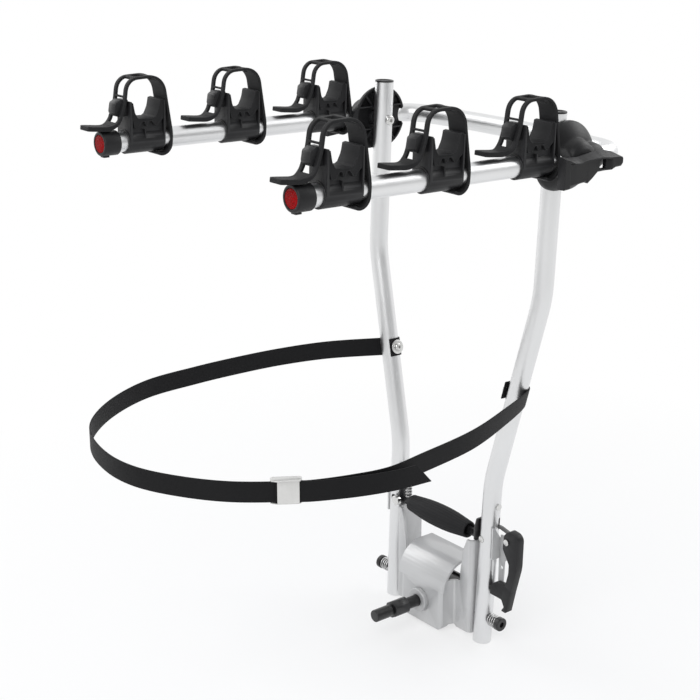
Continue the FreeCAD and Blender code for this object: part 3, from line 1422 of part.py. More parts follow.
def build():
    base_plate()
    clamp_housing()
    rear_jaw()
    jaw("clamp_jaw", "-jaw_front", "-jaw_face")
    jaw_bolts()
    screw_bush()
    clamp_screw()
    pivot_pins()
    pivot_springs()
    upright("right", "")
    upright("left", "-")
    upright_plugs()
    bracket()
    guide_bolts()
    guide_pins()
    spring_seat()
    release_bar()
    hand_grip()
    release_link()
    return_spring()
    latch_lever()
    latch_pin()
    arm_tube()
    end_cap()
    reflectors()
    elbow_inner()
    elbow_outer()
    elbow_lever()
    lever_pins()
    elbow_bolts()
    cradles()
    safety_strap()
    strap_washers()
    strap_screws()
    strap_buckle()
    buckle_cam()


def check_objects():
    """Stops on a failed object, a piece with no valid solid or a cut that took nothing away."""
    for item in doc.Objects:
        if {"Invalid", "Error"} & set(item.State):
            raise RuntimeError(f"{item.Label} failed: {item.State}")
        if item.TypeId in ("PartDesign::Pocket", "PartDesign::SubtractiveSphere"):
            if item.Shape.Volume > item.BaseFeature.Shape.Volume - 0.01:
                raise RuntimeError(f"{item.Label} cuts nothing")
    for piece in NODES:
        shape = piece.Shape
        if shape.isNull() or not shape.isValid() or not shape.Solids:
            raise RuntimeError(f"{piece.Label} has no valid solid")


build()
doc.recompute()
check_objects()
os.makedirs("parts", exist_ok=True)
for piece in NODES:
    piece.Shape.exportStep(f"parts/{piece.Label}.step")
print(f"{len(NODES)} nodes written")
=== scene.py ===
# %% [markdown]
# # A hitch bike rack
# The rack stands on the tow ball of a car: a clamp base, two bent uprights, and a tube bent to a U
# whose two arms carry six cradles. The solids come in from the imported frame, already in place. This
# script gives them their finishes and models the pieces that need more than a solid: webbing,
# springs, the grip and the rubber parts.

# %% Load the frame
import math
import bpy
import bmesh
from mathutils import Matrix, Vector


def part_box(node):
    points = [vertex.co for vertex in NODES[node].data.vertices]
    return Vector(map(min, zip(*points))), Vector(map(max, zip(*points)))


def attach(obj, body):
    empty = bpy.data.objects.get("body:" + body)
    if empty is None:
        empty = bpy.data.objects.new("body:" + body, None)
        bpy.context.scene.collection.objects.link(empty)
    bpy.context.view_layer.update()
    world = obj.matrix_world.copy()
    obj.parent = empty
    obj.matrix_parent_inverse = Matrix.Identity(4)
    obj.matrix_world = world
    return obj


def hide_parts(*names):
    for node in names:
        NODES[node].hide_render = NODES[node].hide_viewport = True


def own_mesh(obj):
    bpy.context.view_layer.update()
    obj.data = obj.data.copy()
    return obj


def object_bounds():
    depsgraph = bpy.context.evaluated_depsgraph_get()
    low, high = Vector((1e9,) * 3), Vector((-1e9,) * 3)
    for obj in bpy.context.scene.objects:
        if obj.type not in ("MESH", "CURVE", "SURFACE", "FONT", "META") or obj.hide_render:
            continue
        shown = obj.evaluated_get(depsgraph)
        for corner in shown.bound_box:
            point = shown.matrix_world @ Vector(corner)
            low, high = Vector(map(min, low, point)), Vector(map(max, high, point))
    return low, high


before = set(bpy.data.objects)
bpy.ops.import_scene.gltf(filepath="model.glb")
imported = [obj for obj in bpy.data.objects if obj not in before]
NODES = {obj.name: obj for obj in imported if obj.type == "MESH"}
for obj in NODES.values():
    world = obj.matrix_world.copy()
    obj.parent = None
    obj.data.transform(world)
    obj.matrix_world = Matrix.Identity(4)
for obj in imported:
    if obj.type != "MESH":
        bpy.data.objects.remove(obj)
SOLID_BOX = [list(corner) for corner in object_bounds()]
MM = 0.001
print("nodes:", len(NODES))

# %% [markdown]
# ## The camera
# The photograph was taken from the right and a little above, with a long lens. Its place was worked
# out from the straight runs of the tubes, so the camera is set by numbers and nothing aims it.

# %% Camera
CAMERA_PLACE = (1.62608, -1.48949, 1.12157)
CAMERA_LOOK = (-0.7395, 0.5963, -0.3125)
LENS_MM = 80.25

lens = bpy.data.cameras.new("camera")
lens.lens = LENS_MM
lens.sensor_width = 36.0
lens.clip_start = 0.05
lens.clip_end = 60.0
camera = bpy.data.objects.new("camera", lens)
bpy.context.scene.collection.objects.link(camera)
camera.location = CAMERA_PLACE
camera.rotation_mode = "QUATERNION"
camera.rotation_quaternion = Vector(CAMERA_LOOK).to_track_quat("-Z", "Y")
bpy.context.scene.camera = camera
bpy.context.scene.view_settings.view_transform = "Standard"
print("camera looks down by", round(math.degrees(math.asin(-CAMERA_LOOK[2])), 1), "degrees")

# %% [markdown]
# ## Shader maths
# A finish is a small sum: a colour, plus a little noise, times a mask. This class wraps one output
# socket, and `+`, `-` and `*` on it add the Math nodes, so a finish reads like a formula.

# %% Value
class Value:
    """One number socket of a finish; arithmetic on it adds Math nodes."""

    def __init__(self, finish, socket):
        self.finish = finish
        self.socket = socket

    def _math(self, operation, a, b):
        made = self.finish.node("ShaderNodeMath", {"operation": operation}, {0: a, 1: b})
        return Value(self.finish, made.outputs[0])

    def __add__(self, other):
        return self._math("ADD", self, other)

    __radd__ = __add__

    def __sub__(self, other):
        return self._math("SUBTRACT", self, other)

    def __mul__(self, other):
        return self._math("MULTIPLY", self, other)

    def sine(self):
        return self._math("SINE", self, 0.0)

    def clamped(self):
        made = self.finish.node("ShaderNodeClamp", {}, {0: self})
        return Value(self.finish, made.outputs[0])


# %% [markdown]
# A finish is a material with its surface shader. One method makes any node, and the others give
# noise, a mix of two colours, relief and an edge mask.

# %% Finish
EDGE_GAIN, EDGE_START = 12.0, 6.15


def opaque(color):
    """A colour as a socket wants it, or the socket that it comes from."""
    return (*color, 1.0) if isinstance(color, tuple) else color


class Finish:
    """A procedural material and the nodes that feed its surface shader."""

    def __init__(self, name, color, roughness, metallic=0.0, coat=0.0, coat_roughness=0.1, ior=1.5):
        self.material = bpy.data.materials.new(name)
        self.material.use_nodes = True
        self.tree = self.material.node_tree
        self.surface = self.tree.nodes["Principled BSDF"]
        constants = {"Base Color": (*color, 1.0), "Roughness": roughness, "Metallic": metallic,
                     "Coat Weight": coat, "Coat Roughness": coat_roughness, "IOR": ior}
        for name, value in constants.items():
            self.surface.inputs[name].default_value = value
        self.place = self.node("ShaderNodeTexCoord").outputs["Object"]

    def node(self, kind, settings=None, inputs=None):
        """Any node: its settings first, then values or links for its sockets."""
        made = self.tree.nodes.new(kind)
        for name, value in (settings or {}).items():
            setattr(made, name, value)
        for key, value in (inputs or {}).items():
            self.feed(made.inputs[key], value)
        return made

    def feed(self, socket, value):
        if isinstance(value, Value):
            value = value.socket
        if isinstance(value, bpy.types.NodeSocket):
            self.tree.links.new(value, socket)
        else:
            socket.default_value = value

    def noise(self, scale, detail=3.0, stretch=(1, 1, 1), roughness=0.5):
        """Noise about 0.5 on object coordinates, longer along a stretched axis."""
        mapped = self.node("ShaderNodeMapping", {}, {"Vector": self.place,
                                                     "Scale": tuple(1 / s for s in stretch)})
        made = self.node("ShaderNodeTexNoise", {}, {"Vector": mapped.outputs[0], "Scale": scale,
                                                    "Detail": detail, "Roughness": roughness})
        return Value(self, made.outputs["Fac"])

    def mix(self, share, a, b):
        """A colour between a and b."""
        made = self.node("ShaderNodeMix", {"data_type": "RGBA"})
        self.feed(made.inputs[0], share)
        self.feed(made.inputs[6], opaque(a))
        self.feed(made.inputs[7], opaque(b))
        return made.outputs[2]

    def color(self, value):
        self.feed(self.surface.inputs["Base Color"], value)

    def roughness(self, value):
        self.feed(self.surface.inputs["Roughness"], value)

    def bump(self, height, distance, strength=1.0):
        """Relief of the given depth in metres."""
        made = self.node("ShaderNodeBump", {}, {"Height": height, "Distance": distance,
                                                "Strength": strength})
        self.feed(self.surface.inputs["Normal"], made.outputs[0])

    def edges(self):
        """A mask that is 1 on outward edges and corners."""
        point = self.node("ShaderNodeNewGeometry").outputs["Pointiness"]
        return (Value(self, point) * EDGE_GAIN - EDGE_START).clamped()


# %% [markdown]
# ## Metals
# The tubes are satin aluminium with faint draw lines. The base is pressed steel under silver-grey
# powder coat, which has a fine orange peel. Small hardware is zinc plated. Noise stretched along an
# axis gives draw lines; round noise gives peel.

# %% Metal finishes
def tube_finish():
    """Satin aluminium with faint lines along the tube."""
    made = Finish("satin_tube", (0.70, 0.705, 0.71), 0.34, metallic=1.0)
    cloud = made.noise(9.0, 2.0)
    lines = made.noise(900.0, 2.0, stretch=(1, 1, 40))
    made.color(made.mix(cloud, (0.70, 0.705, 0.71), (0.80, 0.805, 0.81)))
    made.roughness(0.27 + cloud * 0.08 + lines * 0.07)
    made.bump(lines, 0.00002)
    return made.material


def coat_finish(name, low, high, rough, peel=0.00006, metallic=0.0):
    """Powder coat: orange peel, slow clouding and a painted highlight along its edges."""
    made = Finish(name, low, rough, metallic=metallic, coat=0.15, coat_roughness=0.25)
    cloud = made.noise(14.0, 3.0)
    grain = made.noise(1400.0, 2.0)
    # The edge mask paints a highlight: edges and corners get a lighter colour, where light catches them,
    # and a little less roughness.
    edge_highlight = made.edges()
    base = made.mix(cloud, low, high)
    highlight_colour = tuple(min(1.0, c * 1.25 + 0.02) for c in high)
    made.color(made.mix(edge_highlight * 0.5, base, highlight_colour))
    made.roughness(rough - 0.05 + grain * 0.12 - edge_highlight * 0.1)
    made.bump(grain, peel)
    return made.material


def steel_finish(name, shade, rough):
    """Zinc-plated steel with fine turning marks."""
    made = Finish(name, shade, rough, metallic=1.0)
    cloud = made.noise(60.0, 3.0)
    marks = made.noise(2500.0, 2.0)
    dark = tuple(c * 0.82 for c in shade)
    made.color(made.mix(cloud, dark, shade))
    made.roughness(rough - 0.06 + marks * 0.14)
    made.bump(marks, 0.00001)
    return made.material


TUBE = tube_finish()
BASE_COAT = coat_finish("grey_coat", (0.43, 0.43, 0.43), (0.50, 0.50, 0.50), 0.45, metallic=0.3)
BLACK_COAT = coat_finish("black_coat", (0.004, 0.004, 0.0045), (0.009, 0.009, 0.010), 0.36)
LINK_COAT = coat_finish("link_coat", (0.07, 0.07, 0.07), (0.11, 0.11, 0.11), 0.4, metallic=0.3)
STEEL = steel_finish("plated_steel", (0.74, 0.74, 0.73), 0.26)
SPRING_STEEL = steel_finish("spring_steel", (0.62, 0.62, 0.62), 0.3)
print("metals:", [metal.name for metal in (TUBE, BASE_COAT, BLACK_COAT, LINK_COAT, STEEL, SPRING_STEEL)])

# %% [markdown]
# ## Plastic and rubber
# The elbows, caps and cradle bases are charcoal plastic with a fine grain, the pads and bands a
# duller rubber. Both show a greyer rim where light catches their edges.

# %% Moulded finishes
def moulded_finish(name, low, high, rough, grain_depth, grain_size=1100.0, rim=0.35, ior=1.4):
    """Moulded plastic or rubber: a fine grain, with a lighter rim along its edges."""
    made = Finish(name, low, rough, coat_roughness=0.3, ior=ior)
    cloud = made.noise(22.0, 3.0)
    grain = made.noise(grain_size, 3.0, roughness=0.65)
    edge = made.edges()
    base = made.mix(cloud, low, high)
    light = tuple(min(1.0, c * 2.2 + 0.015) for c in high)
    made.color(made.mix(edge * rim, base, light))
    made.roughness(rough - 0.06 + grain * 0.12)
    made.bump(grain, grain_depth)
    return made.material


PLASTIC = moulded_finish("charcoal_plastic", (0.006, 0.006, 0.0065), (0.011, 0.011, 0.012), 0.46,
                         0.00005, ior=1.36)
RUBBER = moulded_finish("cradle_rubber", (0.008, 0.008, 0.0085), (0.014, 0.014, 0.015), 0.62, 0.00004,
                        ior=1.3)
SOFT_GRIP = moulded_finish("grip_foam", (0.008, 0.008, 0.009), (0.015, 0.015, 0.016), 0.66, 0.00008,
                           grain_size=700.0, rim=0.2, ior=1.3)
PLUG = moulded_finish("plug_plastic", (0.005, 0.005, 0.005), (0.009, 0.009, 0.01), 0.35, 0.00003)
print("mouldings:", [moulding.name for moulding in (PLASTIC, RUBBER, SOFT_GRIP, PLUG)])

# %% [markdown]
# ## The reflectors
# Each arm ends in a red reflector. A cell pattern in the bump breaks the highlight as its tiny
# prisms do.

# %% Reflector finish
def reflector_finish():
    """Red plastic with a relief of small cells."""
    made = Finish("red_reflector", (0.30, 0.004, 0.006), 0.5, coat=0.03, coat_roughness=0.15, ior=1.15)
    cells = made.node("ShaderNodeTexVoronoi", {"feature": "DISTANCE_TO_EDGE"},
                      {"Vector": made.place, "Scale": 420.0})
    edge = Value(made, cells.outputs["Distance"])
    mask = (edge * 6.0).clamped()
    made.color(made.mix(mask, (0.15, 0.001, 0.0015), (0.31, 0.0015, 0.0025)))
    made.bump(mask, 0.0003)
    return made.material


REFLECTOR = reflector_finish()
print("reflector:", REFLECTOR.name)

# %% [markdown]
# ## Dressing the solids
# A solid whose shape is right stays and only gets its finish. Its mesh is loose triangles, so a Weld
# modifier joins them, and a narrow Bevel gives each edge the small radius that catches light.

# %% Finishes by piece
CRADLES = [f"{side}_{place}" for side in ("right", "left") for place in (1, 2, 3)]
DRESS = {
    TUBE: ["upright_right", "upright_left", "arm_tube"],
    BASE_COAT: ["base_plate", "bracket_right", "bracket_left", "spring_seat", "screw_bush"],
    BLACK_COAT: ["clamp_screw", "release_bar", "clamp_housing", "rear_jaw", "clamp_jaw",
                 "pivot_pins"],
    STEEL: ["jaw_bolts", "guide_pins", "latch_pin", "elbow_bolts",
            "lever_pins", "strap_washers", "strap_screws"],
    LINK_COAT: ["release_link"],
    PLASTIC: ["latch_lever"] + [f"cradle_base_{c}" for c in CRADLES],
    PLUG: ["upright_plugs"],
    REFLECTOR: ["reflectors"],
}
ROUND_MM = {TUBE: 0.0, BASE_COAT: 0.7, BLACK_COAT: 0.5, STEEL: 0.25, LINK_COAT: 0.3, PLASTIC: 0.6,
            PLUG: 0.3, REFLECTOR: 0.2}


def round_edges(piece, width, angle, segments=2):
    """A narrow Bevel on every edge that is sharper than the angle."""
    bevel = piece.modifiers.new("round", "BEVEL")
    bevel.width = width * MM
    bevel.segments = segments
    bevel.limit_method = "ANGLE"
    bevel.angle_limit = math.radians(angle)
    return bevel


def shade(piece):
    """Smooth shading on every face."""
    piece.data.polygons.foreach_set("use_smooth", [True] * len(piece.data.polygons))


def smooth(piece, round_mm, angle=32.0):
    """Joins the triangles, rounds the edges and shades smoothly between them."""
    shade(piece)
    weld = piece.modifiers.new("weld", "WELD")
    weld.merge_threshold = 0.00001
    if round_mm > 0:
        round_edges(piece, round_mm, angle).harden_normals = True
    else:
        split = piece.modifiers.new("split", "EDGE_SPLIT")
        split.split_angle = math.radians(angle)


for finish, names in DRESS.items():
    for name in names:
        piece = NODES[name]
        piece.data.materials.clear()
        piece.data.materials.append(finish)
        smooth(piece, ROUND_MM[finish])
print("dressed:", sum(len(names) for names in DRESS.values()), "nodes")

# %% [markdown]
# ## Tools for new pieces
# A new piece starts as a primitive and is shaped in edit mode. These helpers deselect everything,
# add the primitive and put its place into its mesh, as the solids have it.

# %% Starting a piece
def clear():
    """Object mode, with nothing selected."""
    if bpy.context.object and bpy.context.object.mode != "OBJECT":
        bpy.ops.object.mode_set(mode="OBJECT")
    bpy.ops.object.select_all(action="DESELECT")


def only(piece):
    """Object mode, with just this piece selected and active."""
    clear()
    bpy.context.view_layer.objects.active = piece
    piece.select_set(True)


def settle(piece):
    """Puts the object's place, turn and size into its mesh."""
    only(piece)
    bpy.ops.object.transform_apply(location=True, rotation=True, scale=True)


def start(primitive, name, **settings):
    """A new piece from one of the primitives, with its place put into its mesh."""
    clear()
    primitive(**settings)
    piece = bpy.context.object
    piece.name = piece.data.name = name
    settle(piece)
    return piece


def copied(master, name, place):
    """A copy of a master, its own mesh moved to the place."""
    piece = master.copy()
    piece.data = master.data.copy()
    piece.name = piece.data.name = name
    bpy.context.scene.collection.objects.link(piece)
    piece.data.transform(place)
    return piece


# %% [markdown]
# The next ones open a piece for editing, pick its faces by place, turn them outward, apply its
# modifiers, and hand a finished piece over to the frame.

# %% Shaping and finishing a piece
WELD = 0.000001


def edit_all():
    """Edit mode, with everything selected."""
    bpy.ops.object.mode_set(mode="EDIT")
    bpy.ops.mesh.select_all(action="SELECT")


def faces_out(shade=False):
    """Turns the open piece's faces outward, shades them if wanted, and leaves edit mode."""
    bpy.ops.mesh.select_all(action="SELECT")
    bpy.ops.mesh.normals_make_consistent(inside=False)
    if shade:
        bpy.ops.mesh.faces_shade_smooth()
    bpy.ops.object.mode_set(mode="OBJECT")


def apply_all(piece):
    """Applies the piece's modifiers in their order."""
    only(piece)
    for modifier in list(piece.modifiers):
        bpy.ops.object.modifier_apply(modifier=modifier.name)


def pick(piece, wanted):
    """Selects just the faces that pass the test and opens the piece in edit mode."""
    mesh = piece.data
    chosen = [bool(wanted(face)) for face in mesh.polygons]
    mesh.vertices.foreach_set("select", [False] * len(mesh.vertices))
    mesh.edges.foreach_set("select", [False] * len(mesh.edges))
    mesh.polygons.foreach_set("select", chosen)
    bpy.context.view_layer.objects.active = piece
    bpy.context.tool_settings.mesh_select_mode = (False, False, True)
    bpy.ops.object.mode_set(mode="EDIT")


def leave():
    """Back to object mode, with edit mode choosing vertices again."""
    bpy.ops.object.mode_set(mode="OBJECT")
    bpy.context.tool_settings.mesh_select_mode = (True, False, False)


def dressed(piece, finish, body, slot, *nodes):
    """Gives a finished piece its material, its body and the solids it stands for."""
    piece.data.materials.clear()
    piece.data.materials.append(finish)
    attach(piece, body)
    if nodes:
        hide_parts(*nodes)
    return piece


# %% [markdown]
# ## The safety strap
# A band of woven nylon runs on edge from one upright round the bicycles to the other, closed by a
# cam buckle, with a free tail. Webbing keeps its width and bends only one way, so it is a ribbon
# through points on its route, with a UV map in metres along and across it for the weave.

# %% Route of the strap
STRAP_LEVEL = 363.97
STRAP_WIDTH = 27.5
STRAP_THICK = 2.0
LOOP = [(-189, -72), (-208.5, -151), (-216, -236), (-216.6, -298), (-210, -385), (-172.4, -467),
        (-116.7, -530), (-65, -558.5), (0.5, -573), (45.8, -571.6), (83, -561), (136.4, -532),
        (172.5, -503), (200.4, -469.8), (207.6, -459), (214.8, -448.2), (222, -437.4), (229.2, -426.6),
        (247.6, -376), (257.8, -326), (249, -258), (230.9, -157.6), (199.6, -71)]
TAIL = [(207.9, -462.8, 0), (216.8, -449.5, 0), (225.7, -436.2, 0), (232.8, -425.6, 0),
        (255.5, -370, -1), (267, -318, -2.5), (269, -262, -4.5)]
TAIL_CUT = 26.0
UPRIGHT_X = 140.1
UPRIGHT_Y = 15.45
LEAN = math.radians(2.43)
SLOPE = math.radians(13.936)
WRAP_RADIUS = 15.3


def leaning(x, y, z):
    """A direction of the uprights' own frame, which leans back a little."""
    return Vector((x, y * math.cos(LEAN) + z * math.sin(LEAN), z * math.cos(LEAN) - y * math.sin(LEAN)))


def wrap(sign):
    """Points and width direction round an upright, from the screwed end outward."""
    centre = Vector((sign * UPRIGHT_X, UPRIGHT_Y, STRAP_LEVEL))
    out = leaning(sign * math.cos(SLOPE), 0, -math.sin(SLOPE))
    back = leaning(0, 1, 0)
    up = leaning(sign * math.sin(SLOPE), 0, math.cos(SLOPE))
    points = [centre - out * WRAP_RADIUS - back * run for run in (13, 6)]
    for degrees in (180, 150, 120, 90, 60, 30):
        a = math.radians(degrees)
        points.append(centre + (out * math.cos(a) + back * math.sin(a)) * WRAP_RADIUS)
    return points, up


# %% [markdown]
# The points are joined by a smooth curve that passes through each of them.

# %% Curve through points
def through(points, step=4.0):
    """Points on a smooth curve through the given ones, and the place of each among them."""
    ends = [points[0] * 2 - points[1], *points, points[-1] * 2 - points[-2]]
    spots, places = [], []
    for i in range(1, len(ends) - 2):
        p0, p1, p2, p3 = ends[i - 1:i + 3]
        d0, d1, d2 = ((b - a).length ** 0.5 for a, b in ((p0, p1), (p1, p2), (p2, p3)))
        m1 = ((p1 - p0) / d0 - (p2 - p0) / (d0 + d1) + (p2 - p1) / d1) * d1
        m2 = ((p2 - p1) / d1 - (p3 - p1) / (d1 + d2) + (p3 - p2) / d2) * d1
        count = max(2, round((p2 - p1).length / step))
        for k in range(count):
            t = k / count
            spots.append(p1 * (2 * t ** 3 - 3 * t * t + 1) + m1 * (t ** 3 - 2 * t * t + t)
                         + p2 * (3 * t * t - 2 * t ** 3) + m2 * (t ** 3 - t * t))
            places.append(i - 1 + t)
    return spots + [points[-1]], places + [len(points) - 1.0]


# %% [markdown]
# The ribbon's sections are set along the curve every few millimetres. Solidify gives it the
# thickness of webbing, and a Bevel rounds its rims.

# %% Ribbon
def ribbon(name, points, ups, tip_cut=0.0):
    """A flat band along the points, with its UV map in metres."""
    spots, places = through(points)
    mesh = bmesh.new()
    layer = mesh.loops.layers.uv.new("band")
    rows, run = [], 0.0
    for i, spot in enumerate(spots):
        along = (spots[min(i + 1, len(spots) - 1)] - spots[max(i - 1, 0)]).normalized()
        k = min(int(places[i]), len(ups) - 2)
        up = ups[k].lerp(ups[k + 1], places[i] - k)
        up = (up - along * up.dot(along)).normalized()
        run += (spot - spots[i - 1]).length if i else 0.0
        row = []
        for share in (-1, -0.94, -0.5, 0, 0.5, 0.94, 1):
            slant = tip_cut * (1 + share) / 2 * (i / (len(spots) - 1)) ** 3
            place = (spot + up * share * STRAP_WIDTH / 2 - along * slant) * MM
            row.append((mesh.verts.new(place), (run * MM, share * STRAP_WIDTH / 2 * MM)))
        rows.append(row)
    for a, b in zip(rows, rows[1:]):
        for i in range(len(a) - 1):
            corners = [a[i], b[i], b[i + 1], a[i + 1]]
            face = mesh.faces.new([c[0] for c in corners])
            for loop, corner in zip(face.loops, corners):
                loop[layer].uv = corner[1]
    data = bpy.data.meshes.new(name)
    mesh.to_mesh(data)
    mesh.free()
    piece = bpy.data.objects.new(name, data)
    bpy.context.scene.collection.objects.link(piece)
    solid = piece.modifiers.new("thick", "SOLIDIFY")
    solid.thickness = STRAP_THICK * MM
    solid.offset = 0.0
    round_edges(piece, 0.6, 50, segments=3)
    apply_all(piece)
    shade(piece)
    print(name, "flat length", round(run), "mm")
    return piece, run


# %% [markdown]
# The webbing is woven in fine slanting ribs. Two sine waves on the band's own UV map make a twill:
# one runs along the band, one across it, and their product is the relief.

# %% Webbing finish
def webbing_finish():
    """Black nylon with a woven relief that follows the band."""
    made = Finish("black_webbing", (0.006, 0.006, 0.006), 0.62, ior=1.25)
    uv = made.node("ShaderNodeUVMap", {"uv_map": "band"}).outputs[0]
    parts = made.node("ShaderNodeSeparateXYZ", {}, {0: uv})
    along, across = Value(made, parts.outputs[0]), Value(made, parts.outputs[1])
    warp = (across * 4200.0).sine() * 0.5 + 0.5
    weft = ((along + across * 0.5) * 3100.0).sine() * 0.5 + 0.5
    weave = warp * 0.6 + weft * 0.4
    fuzz = made.noise(1800.0, 2.0)
    shade = (weave * 0.7 + fuzz * 0.3).clamped()
    made.color(made.mix(shade, (0.0025, 0.0025, 0.0028), (0.012, 0.012, 0.013)))
    made.roughness(0.5 + fuzz * 0.2)
    made.bump(weave, 0.00025)
    return made.material


WEBBING = webbing_finish()
print("webbing:", WEBBING.name)

# %% [markdown]
# The band starts and ends with a turn round an upright, whose slope its width takes on there. The
# tail leaves the buckle outside the band and ends in a slanting cut.

# %% Band and tail
left_points, left_up = wrap(-1)
right_points, right_up = wrap(1)
UP = Vector((0, 0, 1))
loop_points = [Vector((x, y, STRAP_LEVEL)) for x, y in LOOP]
loop_ups = [UP] * len(loop_points)
loop_ups[0] = (UP + left_up * 0.5).normalized()
loop_ups[-1] = (UP + right_up * 0.5).normalized()
band, band_run = ribbon("strap_band", left_points + loop_points + right_points[::-1],
                        [left_up] * len(left_points) + loop_ups + [right_up] * len(right_points))
tail_points = [Vector((x, y, STRAP_LEVEL + drop)) for x, y, drop in TAIL]
tail, tail_run = ribbon("strap_tail", tail_points, [UP] * len(tail_points), tip_cut=TAIL_CUT)
dressed(band, WEBBING, "tilt_frame", "webbing", "safety_strap")
dressed(tail, WEBBING, "tilt_frame", "webbing")
for piece, run in ((band, band_run), (tail, tail_run)):
    run * MM
    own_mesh(piece)

# %% [markdown]
# ## The cradles
# A rubber saddle sits on a plastic sleeve, and a rubber band comes up from under the sleeve, over
# the bicycle's tube and down to a hook in front, where it ends in a pull tab. All six are alike, so
# one is modelled about the middle of its sleeve and copied. Its side view is drawn with corners and
# their radii.

# %% Outlines with round corners
def rounded(corners, steps=5):
    """The outline's points; a corner (y, z, radius) becomes an arc."""
    points = []
    for i, corner in enumerate(corners):
        here = Vector(corner[:2])
        if len(corner) < 3:
            points.append(here)
            continue
        back = (Vector(corners[i - 1][:2]) - here).normalized()
        ahead = (Vector(corners[(i + 1) % len(corners)][:2]) - here).normalized()
        half = back.angle(ahead) / 2
        reach = corner[2] / math.tan(half)
        centre = here + (back + ahead).normalized() * (corner[2] / math.sin(half))
        start, end = here + back * reach - centre, here + ahead * reach - centre
        for k in range(steps + 1):
            share = k / steps
            spoke = start.lerp(end, share).normalized() * corner[2]
            points.append(centre + spoke)
    return points


def slab(name, corners, half_width, rim=0.0, sink=0.0):
    """A plate of the outline, along X, with a raised rim round both of its faces."""
    points = rounded(corners)
    piece = start(bpy.ops.mesh.primitive_circle_add, name, vertices=len(points), radius=0.02,
                  fill_type="NGON")
    for vertex, point in zip(piece.data.vertices, points):
        vertex.co = Vector((-half_width, point.x, point.y)) * MM
    edit_all()
    bpy.ops.mesh.extrude_region_move(TRANSFORM_OT_translate={"value": (2 * half_width * MM, 0, 0)})
    faces_out()
    if rim:
        pick(piece, lambda face: abs(face.normal.x) > 0.9)
        bpy.ops.mesh.inset(thickness=rim * MM, depth=0.0, use_individual=True)
        bpy.ops.mesh.inset(thickness=rim * 0.4 * MM, depth=-sink * MM, use_individual=True)
        leave()
    return piece


def rim_round(piece, width, angle=35.0):
    """Rounds the piece's sharp edges for good and shades it."""
    round_edges(piece, width, angle)
    apply_all(piece)
    bpy.ops.object.shade_smooth_by_angle(angle=math.radians(angle))


# %% [markdown]
# The band is a strip of changing width and thickness: a grid laid along its side view, with the
# slots' faces deleted. Solidify gives the thickness, and Subdivision rounds the slots' corners.

# %% Cradle band
BAND_PATH = [(15, -17.2), (21, -20.5, 5), (37, -20.5, 15), (38.5, 8, 60), (25, 88, 24),
             (-30.5, 86, 18), (-34.5, 56, 50), (-46, 22, 20), (-62, 20.6, 40), (-91, 23.4)]
BAND_STEP = 3.0
BAND_LINES = (-16, -12.5, -9.2, 0, 9.2, 12.5, 16)
BAND_SLOTS = [(122.8, 138.2), (144.2, 159.5), (165.5, 190.8), (195.5, 231.8)]
SLOT_HALF = 9.2
STRIP_THICK, TAB_THICK = 4.0, 6.4
TAB_ROWS = 17


def along_path(corners, step):
    """Points evenly spaced on an open outline with round corners."""
    points = rounded(corners, 12)
    spots, run = [points[0]], 0.0
    for a, b in zip(points, points[1:]):
        length = (b - a).length
        while run + length >= step:
            a = a.lerp(b, (step - run) / length)
            length = (b - a).length
            spots.append(a.copy())
            run = 0.0
        run += length
    return spots


def cradle_band():
    """The band on its path, with its slots and the thicker tab at its end."""
    spots = along_path(BAND_PATH, BAND_STEP)
    last = len(spots) - 1
    columns = len(BAND_LINES)
    piece = start(bpy.ops.mesh.primitive_grid_add, "band_master", x_subdivisions=columns - 1,
                  y_subdivisions=last, size=0.1)
    group = piece.vertex_groups.new(name="thick")
    for index, vertex in enumerate(piece.data.vertices):
        row, column = divmod(index, columns)
        tab = max(0.0, min(1.0, (row - (last - TAB_ROWS)) / 6))
        narrow = 1 - 0.24 * tab * tab * (3 - 2 * tab)
        if row > last - 2:
            narrow *= 0.95 - 0.08 * (row - last + 1)
        spot = spots[row]
        vertex.co = Vector((BAND_LINES[column] * narrow, spot.x, spot.y)) * MM
        thick = STRIP_THICK + (TAB_THICK - STRIP_THICK) * tab
        group.add([index], thick / TAB_THICK, "REPLACE")

    def in_slot(face):
        run = sum(v // columns for v in face.vertices) / 4 * BAND_STEP
        return abs(face.center.x) < SLOT_HALF * MM and any(a < run < b for a, b in BAND_SLOTS)

    pick(piece, in_slot)
    bpy.ops.mesh.delete(type="FACE")
    leave()
    solid = piece.modifiers.new("thick", "SOLIDIFY")
    solid.thickness = TAB_THICK * MM
    solid.offset = 0.0
    solid.vertex_group = "thick"
    round_edges(piece, 0.9, 50)
    fine = piece.modifiers.new("fine", "SUBSURF")
    fine.levels = fine.render_levels = 1
    apply_all(piece)
    edit_all()
    faces_out()
    shade(piece)
    print("band path", len(spots), "stations,", len(piece.data.polygons), "faces")
    return piece


# %% [markdown]
# The saddle is a slab of rubber with a round mouth and three fingers down each side, outlined by a
# raised lip. A Boolean cuts the channel in which it straddles the sleeve's core.

# %% Cradle saddle
PAD_OUTLINE = [(-24.3, 54), (-23.4, 53.6), (-20.4, 39.1, 14), (-15.5, 32, 4), (8.5, 31.2, 2),
               (12.2, 33.4, 1), (17.4, 43.5, 30), (19.6, 55.4, 1.5), (24.3, 56.2), (24.3, 30, 3),
               (17.8, 24.5, 2), (12.5, 18.6, 2.5), (5.6, 27.3, 1.5), (1.6, 27.3, 1.5),
               (-2.1, 16.6, 1.8), (-5.8, 27.3, 1.5), (-9.4, 27.3, 1.5), (-15.2, 18.9, 2),
               (-21.8, 19.5, 2), (-24.3, 30, 3)]
PAD_HALF = 16.5
PAD_CHANNEL = ((-11.2, -40, 0), (11.2, 40, 28.2))


def cut_with(piece, cutter):
    """Takes the cutter's form out of a piece, and the cutter away."""
    cut = piece.modifiers.new("cut", "BOOLEAN")
    cut.object = cutter
    cut.operation = "DIFFERENCE"
    apply_all(piece)
    bpy.data.objects.remove(cutter)


